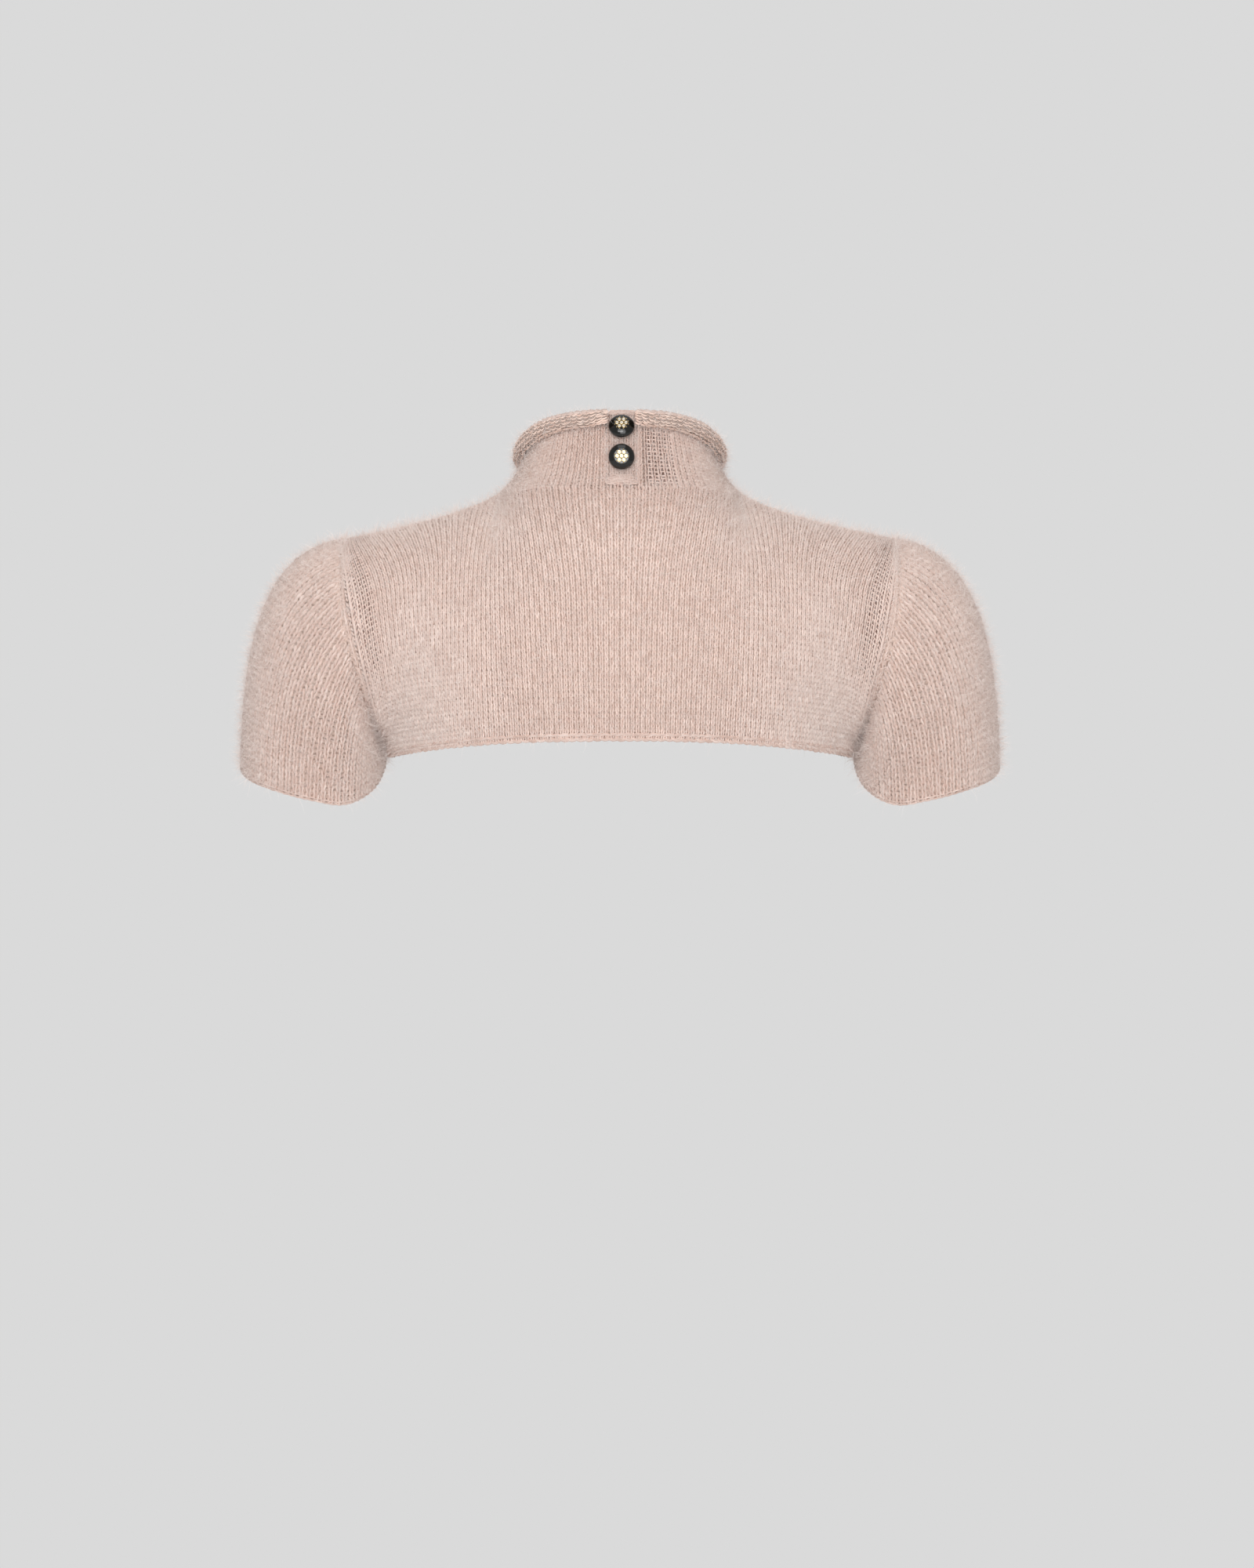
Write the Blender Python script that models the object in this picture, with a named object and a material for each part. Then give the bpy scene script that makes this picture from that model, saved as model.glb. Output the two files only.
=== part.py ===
"""A cropped knit top with short set-in sleeves and a rolled funnel neck, filled out as if worn.

The garment stands upright: +Z is up, its back faces -Y and the wearer's right hand is at +X.
The origin is the middle of the neck, level with the neck ends of the shoulder seams' slope.
Every shape is worked out in millimetres and becomes metres when its mesh is made.
"""

import functools
import math
from typing import NamedTuple

import bpy
import numpy as np

MM = 0.001
STEP = 1e-4

# Cloth
WALL = 2.4
SEAM_GAP = 0.3
EDGE_BEAD = 0.9

# Body
HEM_HALF_WIDTH = 139.8
HEM_CENTRE_Y = 8.0
HEM_SQUARENESS = 2.2
HEM_SIDE_Z = -148.0
HEM_SIDE_DROP = 2.4
UNDERARM = (142.5, 8.0, -139.0)
SIDE_SEAM_SHARE = 0.06
EDGE_PULL = 4
NECK_HALF_WIDTH = 71.0
NECK_HALF_DEPTH = 62.0
NECK_CENTRE_Y = -4.0
NECK_TOP_Z = 11.0
NECK_COLUMN_X = 68.0
NECK_SPREAD = 1.16
NECK_PINCH = 0.116
NECK_SLOPE = 27.9
NECK_CROWN = 23.0
SHOULDER_TIP = (165.0, 2.0, -17.5)
SHOULDER_LEAVE = (14.0, 2.0, -11.0)
SHOULDER_ARRIVE = (-42.0, 0.0, 8.5)
SHOULDER_CROWD = 1.87
HEM_BEAD_ROWS = (0.0, 0.017, 0.034)
NECK_COLUMNS = 9
SHOULDER_COLUMNS = 12

# Cuff
CUFF_CENTRE_X = 184.3
CUFF_CENTRE_Y = 8.0
CUFF_HALF_WIDTH = 43.5
CUFF_HALF_DEPTH = 50.0
CUFF_BACK_DROP = 19.0
CUFF_LEAN_X = -0.03
CUFF_LEAN_Y = -0.12
CUFF_BEAD_ROWS = (0.962, 0.981, 1.0)
SLEEVE_ROWS = 11
SLEEVE_LAST_ROW = 0.94

# Funnel neck and its rolled edge
ROLL_HALF_WIDTH = 58.2
ROLL_BACK_Y = -62.5
ROLL_FRONT_Y = 50.0
ROLL_SIDE_Z = 32.0
ROLL_TILT = 19.0
ROLL_LIFT = 1.5
ROLL_LEAN_SIDE = 0.62
ROLL_LEAN_FRONT = 0.25
ROLL_RADIUS_BACK = 4.6
ROLL_RADIUS_SIDE = 5.8
ROLL_END_ANGLE = math.radians(-60.0)
SLIT_CURL = 0.8
SLIT_CURL_DEGREES = (8.0, 20.0)
SLIT_ANGLE = 0.2
STAND_ROWS = 4
ROLL_ROWS = 9

# Placket and buttons
PLACKET_X = 1.0
PLACKET_HALF_WIDTH = 9.0
PLACKET_RISE = 0.6
PLACKET_TOP_Z = 55.6
PLACKET_BEND_Z = 34.5
PLACKET_BEND = 0.0194
PLACKET_COLUMNS = 5
PLACKET_ROWS = 15
BUTTON_RADIUS = 7.7
BUTTON_HEIGHT = 5.2
BUTTON_EDGE = 1.4
BUTTON_DOME_DEGREES = (0.0, 18.0, 36.0, 50.0)
BUTTON_CROWN_RISE = 0.25
BUTTON_FOOT = ((1.2, 0.0), (0.2, 0.5))
BUTTON_SIDES = 32
BUTTON_TILTS = {"button_bottom": (28.0, 4.0), "button_top": (45.4, 30.0)}
ROSETTE_RADIUS = 4.3
ROSETTE_HEIGHT = 1.3
ROSETTE_BED = 0.45
ROSETTE_RIM = 0.35
ROSETTE_SIDES = 36
ROSETTE_RINGS = 6
STONES = 6
STONE_CIRCLE = 2.75
STONE_SIZE = 1.0


class Column(NamedTuple):
    """A lengthwise line of a body panel, by its share of the half width.

    It leaves the hem by a handle of x, y and z, and comes to the ridge over the shoulders from a
    control point that lies control_x beside its end there, at control_y and control_z.
    """

    share: float
    hem_x: float
    hem_y: float
    hem_z: float
    control_x: float
    control_y: float
    control_z: float


class Station(NamedTuple):
    """A place on the armhole seam, and the handle with which the sleeve leaves it."""

    x: float
    y: float
    z: float
    out_x: float
    out_y: float
    out_z: float


class Cuff(NamedTuple):
    """The cuff's height at an angle round the arm, and how far its handle rises."""

    angle: float
    height: float
    rise: float


class Panel(NamedTuple):
    """Sizes that differ between the back panel and the front panel."""

    sign: float
    hem_depth: float
    hem_centre_z: float
    rows: int
    columns: tuple


BACK = Panel(
    sign=-1.0,
    hem_depth=108.0,
    hem_centre_z=-138.8,
    rows=15,
    columns=(
        Column(0.000, 0.0, -10.0, 52.0, 0.0, -84.0, 40.0),
        Column(0.180, 1.0, -12.0, 54.0, 3.0, -83.0, 20.0),
        Column(0.300, 3.0, -17.0, 57.0, 3.0, -81.0, -2.0),
        Column(0.500, 6.0, -20.0, 62.0, 0.0, -76.0, -8.0),
        Column(0.667, 10.0, -24.0, 62.0, 0.0, -68.0, -13.5),
        Column(0.850, 14.0, -42.0, 44.0, 2.0, -65.0, -20.0),
        Column(1.000, 6.0, -62.0, 26.0, 3.0, -62.0, -25.5),
    ),
)

FRONT = Panel(
    sign=1.0,
    hem_depth=92.0,
    hem_centre_z=-131.0,
    rows=12,
    columns=(
        Column(0.000, 0.0, 8.0, 36.0, 0.0, 74.0, -10.0),
        Column(0.180, 1.0, 10.0, 40.0, 2.0, 72.0, -8.0),
        Column(0.300, 3.0, 13.0, 50.0, 3.0, 68.0, -9.0),
        Column(0.500, 6.0, 16.0, 56.0, 0.0, 61.0, -9.0),
        Column(0.667, 8.0, 20.0, 56.0, 0.0, 55.0, -13.5),
        Column(0.850, 10.0, 34.0, 40.0, 1.0, 46.0, -20.0),
        Column(1.000, 4.0, 46.0, 20.0, 2.0, 36.0, -25.5),
    ),
)

ARMHOLE = (
    Station(*SHOULDER_TIP, 56.0, 0.0, -7.0),
    Station(166.0, -27.5, -27.5, 50.0, -3.0, -12.0),
    Station(165.3, -47.0, -46.0, 40.0, -3.0, -26.0),
    Station(163.2, -56.5, -66.0, 28.0, -4.0, -31.0),
    Station(158.8, -58.0, -85.5, 17.0, -8.0, -30.0),
    Station(153.2, -50.0, -105.0, 9.0, -13.0, -24.0),
    Station(148.0, -33.0, -124.0, 3.0, -12.0, -14.0),
    Station(144.3, -12.0, -136.0, 0.0, -4.0, -6.0),
    Station(*UNDERARM, 0.0, 0.0, -4.0),
    Station(145.0, 29.0, -135.0, 0.0, 3.0, -6.0),
    Station(149.5, 46.0, -119.0, 4.0, 8.0, -14.0),
    Station(154.5, 54.0, -98.0, 10.0, 9.0, -24.0),
    Station(158.5, 54.0, -76.0, 17.0, 9.0, -28.0),
    Station(162.0, 48.0, -55.0, 28.0, 10.0, -28.0),
    Station(165.0, 37.0, -36.0, 43.0, 9.0, -21.0),
    Station(166.0, 20.0, -22.5, 53.0, 5.0, -11.0),
)

CUFF = (
    Cuff(0.0, -154.0, 56.0),
    Cuff(30.0, -152.5, 52.0),
    Cuff(60.0, -152.0, 46.0),
    Cuff(90.0, -155.2, 40.0),
    Cuff(120.0, -160.5, 28.0),
    Cuff(150.0, -158.0, 14.0),
    Cuff(180.0, -150.5, 4.0),
)


# Curves and tables


def smooth_table(places, values, at):
    """Read a table at any places along a smooth curve through its rows."""
    places = np.asarray(places, dtype=float)
    values = np.asarray(values, dtype=float)
    at = np.clip(np.asarray(at, dtype=float), places[0], places[-1])
    slopes = np.gradient(values, places, axis=0)
    row = np.clip(np.searchsorted(places, at, side="right") - 1, 0, len(places) - 2)
    step = places[row + 1] - places[row]
    u = (at - places[row]) / step
    if values.ndim > 1:
        step = step[..., None]
        u = u[..., None]
    start = values[row] * (1 + 2 * u) * (1 - u) ** 2 + slopes[row] * step * u * (1 - u) ** 2
    end = values[row + 1] * u**2 * (3 - 2 * u) - slopes[row + 1] * step * u**2 * (1 - u)
    return start + end


def bezier(start, leave, arrive, end, t):
    """Points of cubic curves that leave start by one handle and reach end by another."""
    t = np.asarray(t)[..., None]
    first = start * (1 - t) ** 3 + 3 * (start + leave) * t * (1 - t) ** 2
    return first + 3 * (end + arrive) * t**2 * (1 - t) + end * t**3


def unit(directions):
    """The same directions with a length of one."""
    length = np.linalg.norm(directions, axis=-1, keepdims=True)
    return directions / np.maximum(length, 1e-9)


def vectors(x, y, z):
    """One array of points from three arrays of coordinates."""
    return np.stack(np.broadcast_arrays(x, y, z), axis=-1).astype(float)


def smooth_step(low, high, value):
    """A soft change from 0 at low to 1 at high."""
    u = np.clip((value - low) / (high - low), 0.0, 1.0)
    return u * u * (3 - 2 * u)


# Body panels


def hem_x(share):
    """How far out a column starts on the hem."""
    return HEM_HALF_WIDTH * np.sin(share * math.pi / 2) ** (2 / HEM_SQUARENESS)


def neck_share():
    """The share of the half width at which the neck line meets the shoulder seam."""
    sine = (NECK_COLUMN_X / HEM_HALF_WIDTH) ** (HEM_SQUARENESS / 2)
    return math.asin(sine) / (math.pi / 2)


def ridge_point(share):
    """A point of the ridge from which both panels hang: over the neck, then the shoulder seam."""
    low = neck_share()
    start = hem_x(np.minimum(share, low))
    x = start * (NECK_SPREAD - NECK_PINCH * (start / NECK_COLUMN_X) ** 2)
    rise = 1 - (x / NECK_HALF_WIDTH) ** 2
    over = vectors(x, NECK_CENTRE_Y, NECK_TOP_Z + NECK_SLOPE * rise + NECK_CROWN * rise**2)
    along = np.clip((share - low) / (1 - low), 0.0, 1.0)
    start = np.array([NECK_HALF_WIDTH, NECK_CENTRE_Y, NECK_TOP_Z])
    seam = bezier(
        start,
        np.array(SHOULDER_LEAVE),
        np.array(SHOULDER_ARRIVE),
        np.array(SHOULDER_TIP),
        1 - (1 - along) ** SHOULDER_CROWD,
    )
    return np.where((share <= low)[..., None], over, seam)


def armhole(front, down):
    """Armhole seam and the sleeve's handle, by how far down from the shoulder tip it lies."""
    rows = np.array(ARMHOLE + ARMHOLE[:1])
    lengths = np.linalg.norm(np.diff(rows[:, :3], axis=0), axis=1)
    places = np.concatenate([[0.0], np.cumsum(lengths)])
    whole = places[-1]
    under = places[[s[:3] for s in ARMHOLE].index(UNDERARM)]
    places = np.concatenate([places[-3:-1] - whole, places, places[1:3] + whole])
    rows = np.concatenate([rows[-3:-1], rows, rows[1:3]])
    down = np.asarray(down, dtype=float)
    at = whole - down * (whole - under) if front else down * under
    values = smooth_table(places, rows, at)
    return values[..., :3], values[..., 3:]


def panel_edge(panel, t):
    """The panel's outer edge: the side seam, then the armhole up to the shoulder tip."""
    hem = np.array([HEM_HALF_WIDTH, HEM_CENTRE_Y, HEM_SIDE_Z])
    corner = SIDE_SEAM_SHARE
    up = np.clip(t / corner, 0.0, 1.0)[..., None]
    side = hem * (1 - up) + np.array(UNDERARM) * up
    down = 1 - np.clip((t - corner) / (1 - corner), 0.0, 1.0)
    seam, _ = armhole(panel.sign > 0, down)
    return np.where((t < corner)[..., None], side, seam)


def column_curve(panel, share, t):
    """A column's own curve from the hem to the ridge."""
    angle = share * math.pi / 2
    depth = np.cos(angle) ** (2 / HEM_SQUARENESS)
    x = hem_x(share)
    drop = (x / HEM_HALF_WIDTH) ** HEM_SIDE_DROP
    hem = vectors(
        x,
        HEM_CENTRE_Y + panel.sign * panel.hem_depth * depth,
        panel.hem_centre_z + (HEM_SIDE_Z - panel.hem_centre_z) * drop,
    )
    top = ridge_point(share)
    table = np.array(panel.columns)
    values = smooth_table(table[:, 0], table[:, 1:], share)
    control = values[..., 3:]
    arrive = vectors(
        control[..., 0], control[..., 1] - top[..., 1], control[..., 2] - top[..., 2]
    )
    return bezier(hem, values[..., :3], arrive, top, t)


def panel_skin(panel, place, t):
    """A point of a body panel's outside before the neck is cut. t runs from hem to ridge."""
    share = np.abs(place)
    ones = np.ones_like(share)
    pull = panel_edge(panel, t) - column_curve(panel, ones, t)
    point = column_curve(panel, share, t) + pull * (share**EDGE_PULL)[..., None]
    point[..., 0] *= np.sign(place)
    return point


@functools.lru_cache(maxsize=None)
def neck_table(panel):
    """The neck line on a panel: how far each column's corner angle, reach and neck angle go.

    A column's corner angle is 90 degrees for the one that ends at the shoulder seam's neck end.
    """
    corner = np.linspace(0.0, math.pi / 2, 181)
    share = neck_share() * np.sin(corner)
    low, high = np.zeros_like(share), np.ones_like(share)
    for _ in range(40):
        middle = (low + high) / 2
        point = panel_skin(panel, share, middle)
        x = point[..., 0] / NECK_HALF_WIDTH
        y = (point[..., 1] - NECK_CENTRE_Y) / NECK_HALF_DEPTH
        within = x**2 + y**2 < 1
        high = np.where(within, middle, high)
        low = np.where(within, low, middle)
    high[-1] = 1.0
    point = panel_skin(panel, share, high)
    around = np.arctan2(
        point[..., 0] / NECK_HALF_WIDTH,
        (point[..., 1] - NECK_CENTRE_Y) / NECK_HALF_DEPTH * panel.sign,
    )
    return corner, high, around


def reach(panel, place):
    """How far up its curve a column goes before the neck line or the shoulder seam."""
    corner, high, _ = neck_table(panel)
    share = np.clip(np.abs(place) / neck_share(), 0.0, 1.0)
    return np.interp(np.arcsin(share), corner, high)


def neck_place(panel, around):
    """The place of the column that ends on the neck line at an angle from its middle."""
    corner, _, angles = neck_table(panel)
    return neck_share() * np.sin(np.interp(around, angles, corner))


def panel_point(panel, place, t):
    """A point of a body panel's outside. place runs from -1 to 1 across, t from hem to top."""
    return panel_skin(panel, place, t * reach(panel, place))


def panel_places(panel):
    """Where a panel's columns stand across it, with one on each neck end of a shoulder seam."""
    neck = neck_place(panel, np.linspace(0.0, math.pi / 2, NECK_COLUMNS + 1))
    shoulder = np.linspace(neck_share(), 1.0, SHOULDER_COLUMNS + 1)[1:]
    half = np.concatenate([neck, shoulder])
    return np.concatenate([-half[:0:-1], half])


def panel_rows(panel):
    """Where a panel's rows stand: three for the hem's bead, the underarm, then evenly up."""
    return np.concatenate([HEM_BEAD_ROWS, np.linspace(SIDE_SEAM_SHARE, 1.0, panel.rows)])


def surface(point, u, v, limits):
    """Points and outward normals of a surface at places of its two parameters."""
    (u_least, u_most), (v_least, v_most) = limits
    u_low, u_high = np.maximum(u - STEP, u_least), np.minimum(u + STEP, u_most)
    v_low, v_high = np.maximum(v - STEP, v_least), np.minimum(v + STEP, v_most)
    du = point(u_high, v) - point(u_low, v)
    dv = point(u, v_high) - point(u, v_low)
    return point(u, v), unit(np.cross(du, dv))


def panel_surface(panel, place, row):
    """Points and outward normals of a body panel's outside."""
    t = row * reach(panel, place)
    limits = ((-1.0, 1.0), (0.0, 1.0))
    points, normals = surface(lambda u, v: panel_skin(panel, u, v), place, t, limits)
    return points, normals * -panel.sign


def body_panel(panel, name):
    """The wall of the back or front panel, with its bead along the hem."""
    places, rows = panel_places(panel), panel_rows(panel)
    outside, normals = panel_surface(panel, *np.meshgrid(places, rows))
    normals[-1] = top_normals(panel, places)
    outside = with_gap(outside, [("top", 1), ("left", 1), ("right", 1)])
    inside = outside - normals * WALL
    outside = outside + normals * bead(np.arange(len(rows)))[:, None, None]
    return wall(name, outside, inside, closed=False)


def top_normals(panel, places):
    """The wall's direction on a panel's top edge, shared with the piece across the seam."""
    share = np.abs(places)
    _, skin = panel_surface(panel, places, np.ones_like(share))
    near, far = np.maximum(share - STEP, 0.0), np.minimum(share + STEP, 1.0)
    along = ridge_point(far) - ridge_point(near)
    seam = unit(vectors(-along[..., 2] * np.sign(places), 0.0, along[..., 0]))
    return np.where((share < neck_share() - 1e-9)[..., None], skin, seam)


def neck_normal(angle):
    """The wall's direction on the neck line, by the angle round it from the back."""
    folded = np.arccos(np.cos(angle))
    sign = np.where(np.sin(angle) < 0, -1.0, 1.0)
    behind = folded <= math.pi / 2
    back = top_normals(BACK, sign * neck_place(BACK, folded))
    front = top_normals(FRONT, sign * neck_place(FRONT, math.pi - folded))
    return np.where(behind[..., None], back, front)


def neck_flare(angle):
    """The stand's direction where it leaves the neck line: outward share and upward share."""
    table = np.linspace(0.0, math.pi, 61)
    normals = neck_normal(table)
    out = normals[:, 0] * np.sin(table) - normals[:, 1] * np.cos(table)
    flare = unit(np.stack([-normals[:, 2], out], axis=-1))
    folded = np.arccos(np.cos(angle))
    return np.stack([np.interp(folded, table, part) for part in flare.T], axis=-1)


def bead(row):
    """How far the chain at a free edge stands proud, by the row counted from that edge."""
    return np.where(row == 1, EDGE_BEAD, 0.0)


def with_gap(grid, sides):
    """Draw a grid's seam edges back by half the seam gap, each along the cloth."""
    grid = grid.copy()
    lines = {
        "bottom": (grid[0], grid[1]),
        "top": (grid[-1], grid[-2]),
        "left": (grid[:, 0], grid[:, 1]),
        "right": (grid[:, -1], grid[:, -2]),
    }
    moves = [(lines[side][0], unit(lines[side][1] - lines[side][0]) * SEAM_GAP / 2 * amount)
             for side, amount in sides]
    for line, move in moves:
        line += move
    return grid


# Sleeves


def cuff_point(angle):
    """A point of the cuff and its handle, by the angle from the outer side round the back."""
    fold = np.degrees(np.arccos(np.cos(angle)))
    table = np.array(CUFF)
    values = smooth_table(table[:, 0], table[:, 1:], fold)
    y = CUFF_CENTRE_Y - CUFF_HALF_DEPTH * np.sin(angle)
    z = values[..., 0] - CUFF_BACK_DROP * np.sin(angle)
    point = vectors(CUFF_CENTRE_X + CUFF_HALF_WIDTH * np.cos(angle), y, z)
    rise = values[..., 1]
    return point, vectors(CUFF_LEAN_X * rise, CUFF_LEAN_Y * rise, rise)


def sleeve_point(angle, t):
    """A point of the sleeve's outside. angle goes round from the tip by the back, t down."""
    down = np.where(angle <= math.pi, angle, 2 * math.pi - angle) / math.pi
    back, back_out = armhole(False, down)
    front, front_out = armhole(True, down)
    behind = (angle <= math.pi)[..., None]
    seam = np.where(behind, back, front)
    leave = np.where(behind, back_out, front_out)
    cuff, arrive = cuff_point(angle)
    return bezier(seam, leave, arrive, cuff, t)


def sleeve_angles():
    """Where the sleeve's columns stand: on the same places as the body panels' rows."""
    back = math.pi * np.linspace(0.0, 1.0, BACK.rows)
    front = math.pi * (1 + np.linspace(0.0, 1.0, FRONT.rows))
    return np.concatenate([back, front[1:]])


def sleeve(name, side):
    """The wall of one sleeve, with its bead along the cuff."""
    angles = sleeve_angles()
    rows = np.concatenate([np.linspace(0.0, SLEEVE_LAST_ROW, SLEEVE_ROWS), CUFF_BEAD_ROWS])
    limits = ((0.0, 2 * math.pi), (0.0, 1.0))
    outside, normals = surface(sleeve_point, *np.meshgrid(angles, rows), limits)
    outside, normals = outside[:, :-1], normals[:, :-1]
    outside[0, :, 0] += SEAM_GAP
    inside = outside - normals * WALL
    outside = outside + normals * bead(np.arange(len(rows))[::-1])[:, None, None]
    outside[..., 0] *= side
    inside[..., 0] *= side
    return wall(name, outside, inside, closed=True)


# Funnel neck


def roll_radius(angle):
    """The rolled edge's outer radius, thinner at the back than at the sides and front."""
    back = smooth_step(0.2, 1.0, np.cos(angle))
    return ROLL_RADIUS_SIDE + (ROLL_RADIUS_BACK - ROLL_RADIUS_SIDE) * back


def roll_centre(angle):
    """The middle of the rolled edge, by the angle round the neck from the back."""
    middle = (ROLL_BACK_Y + ROLL_FRONT_Y) / 2
    reach = (ROLL_FRONT_Y - ROLL_BACK_Y) / 2
    z = ROLL_SIDE_Z + ROLL_TILT * np.cos(angle)
    z = z + np.where(np.cos(angle) > 0, ROLL_LIFT * np.sin(2 * angle) ** 2, 0.0)
    return vectors(ROLL_HALF_WIDTH * np.sin(angle), middle - reach * np.cos(angle), z)


def collar_base(angle):
    """The neck line all the way round, by the angle from the back."""
    folded = np.arccos(np.cos(angle))
    ones = np.ones_like(folded)
    back = panel_point(BACK, neck_place(BACK, folded), ones)
    front = panel_point(FRONT, neck_place(FRONT, math.pi - folded), ones)
    point = np.where((folded <= math.pi / 2)[..., None], back, front)
    point[..., 0] *= np.where(np.sin(angle) < 0, -1.0, 1.0)
    return point


def collar_path(angle, level):
    """The stand's outside, then the inside of the roll. level is 0 to 1, then 1 to 2."""
    outward = unit(vectors(np.sin(angle), -np.cos(angle), 0.0 * angle))
    upward = np.array([0.0, 0.0, 1.0])
    lean = ROLL_LEAN_SIDE * np.sin(angle) ** 2 + ROLL_LEAN_FRONT * np.clip(-np.cos(angle), 0, 1)
    centre = roll_centre(angle)
    radius = roll_radius(angle) - WALL
    first = math.pi + lean
    turn = np.clip(level - 1, 0.0, 1.0)
    bend = first + (ROLL_END_ANGLE - first) * turn * slit_curl(angle)
    ring = centre + radius[..., None] * (
        outward * np.cos(bend)[..., None] + upward * np.sin(bend)[..., None]
    )
    start = centre + radius[..., None] * (
        outward * np.cos(first)[..., None] + upward * np.sin(first)[..., None]
    )
    base = collar_base(angle)
    flare = neck_flare(angle)
    length = np.linalg.norm(start - base, axis=-1)[..., None] / 3
    leave = (outward * flare[..., :1] + upward * flare[..., 1:]) * length
    arrive = -length * (
        outward * -np.sin(lean)[..., None] + upward * np.cos(lean)[..., None]
    )
    stand = bezier(base, leave, arrive, start, np.clip(level, 0.0, 1.0))
    return np.where((level <= 1)[..., None], stand, ring)


def slit_curl(angle):
    """How much of the roll has formed: least beside the placket, all of it further round."""
    away = np.degrees(np.arccos(np.cos(angle)))
    return SLIT_CURL + (1 - SLIT_CURL) * smooth_step(*SLIT_CURL_DEGREES, away)


def collar_ends(level):
    """The angles at which a line round the neck meets the placket's two sides."""
    near = np.full_like(level, SLIT_ANGLE)
    radius = collar_path(near, level)[..., 0] / np.sin(near)
    edge = PLACKET_HALF_WIDTH + SEAM_GAP
    return np.arcsin((edge + PLACKET_X) / radius), np.arcsin((edge - PLACKET_X) / radius)


def collar_angles():
    """Where the collar's lines stand: on the same places as the body panels' columns."""
    quarter = np.linspace(0.0, math.pi / 2, NECK_COLUMNS + 1)
    turn = np.concatenate([quarter + k * math.pi / 2 for k in range(4)])
    turn = np.unique(np.round(turn, 9))
    return turn[(turn > SLIT_ANGLE) & (turn < 2 * math.pi - SLIT_ANGLE)]


def collar(name):
    """The stand and rolled edge as one wall, open at the centre back."""
    levels = np.concatenate(
        [np.linspace(0.0, 1.0, STAND_ROWS + 1), np.linspace(1.0, 2.0, ROLL_ROWS + 1)[1:]]
    )
    right, left = collar_ends(levels)
    inner = np.broadcast_to(collar_angles(), (len(levels), len(collar_angles())))
    angle = np.column_stack([right, inner, 2 * math.pi - left])
    level = np.broadcast_to(levels[:, None], angle.shape)
    limits = ((0.0, 2 * math.pi), (0.0, 2.0))
    outside, normals = surface(collar_path, angle, level, limits)
    normals[0] = neck_normal(angle[0])
    normals[:, [0, -1], 0] = 0.0
    normals = unit(normals)
    outside = with_gap(outside, [("bottom", 1)])
    inside = outside - normals * WALL
    return wall(name, outside, inside, closed=False)


# Placket and buttons


def placket_path(z):
    """How far back the placket's outside lies at a height, bending in over the rim."""
    levels = np.linspace(0.0, 1.0, 60)
    line = collar_path(np.zeros_like(levels), levels)
    y = np.interp(z, line[:, 2], line[:, 1])
    over = np.clip(z - PLACKET_BEND_Z, 0.0, None)
    return y + PLACKET_BEND * over**2 - PLACKET_RISE


def placket_point(x, z):
    """A point of the placket's outside."""
    bulge = NECK_HALF_WIDTH - np.sqrt(NECK_HALF_WIDTH**2 - (x + PLACKET_X) ** 2)
    return vectors(x + PLACKET_X, placket_path(z) + bulge, z)


def placket(name):
    """The narrow band that closes the slit, thicker than the neck on each side of it."""
    across = np.linspace(-PLACKET_HALF_WIDTH, PLACKET_HALF_WIDTH, PLACKET_COLUMNS)
    neck_line = float(collar_base(np.zeros(1))[0, 2])
    up = np.linspace(neck_line + SEAM_GAP, PLACKET_TOP_Z, PLACKET_ROWS)
    limits = ((across[0], across[-1]), (up[0], up[-1]))
    outside, normals = surface(placket_point, *np.meshgrid(across, up), limits)
    inside = outside - normals * (WALL + PLACKET_RISE)
    return wall(name, outside, inside, closed=False)


def turned(name, profile, sides):
    """A closed turned solid about Z from a profile of (radius, height) from bottom to top."""
    radius, height = np.array(profile).T
    angles = np.arange(sides) * 2 * math.pi / sides
    ring = vectors(
        radius[:, None] * np.cos(angles), radius[:, None] * np.sin(angles), height[:, None]
    )
    points = ring.reshape(-1, 3)
    count = len(profile)
    faces = []
    for row in range(count - 1):
        for k in range(sides):
            after = (k + 1) % sides
            faces.append(
                (row * sides + k, row * sides + after, (row + 1) * sides + after, (row + 1) * sides + k)
            )
    faces.append(tuple(range(sides))[::-1])
    faces.append(tuple((count - 1) * sides + k for k in range(sides)))
    return solid(name, points, faces)


def button(name):
    """A domed button with a flat crown, turned about its own axis and set on the placket."""
    foot = [(BUTTON_RADIUS - inset, height) for inset, height in BUTTON_FOOT]
    dome = [
        (BUTTON_RADIUS * math.cos(math.radians(a)), dome_height(a)) for a in BUTTON_DOME_DEGREES
    ]
    crown = [(ROSETTE_RADIUS + SEAM_GAP, crown_height())]
    obj = turned(name, foot + dome + crown, BUTTON_SIDES)
    place(obj, name, 0.0)
    return obj


def dome_height(degrees):
    """The height of the dome at an angle up its round, over the button's underside."""
    return BUTTON_EDGE + (BUTTON_HEIGHT - BUTTON_EDGE) * math.sin(math.radians(degrees))


def crown_height():
    """The height of a button's flat crown over its underside."""
    return dome_height(BUTTON_DOME_DEGREES[-1]) + BUTTON_CROWN_RISE


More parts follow.
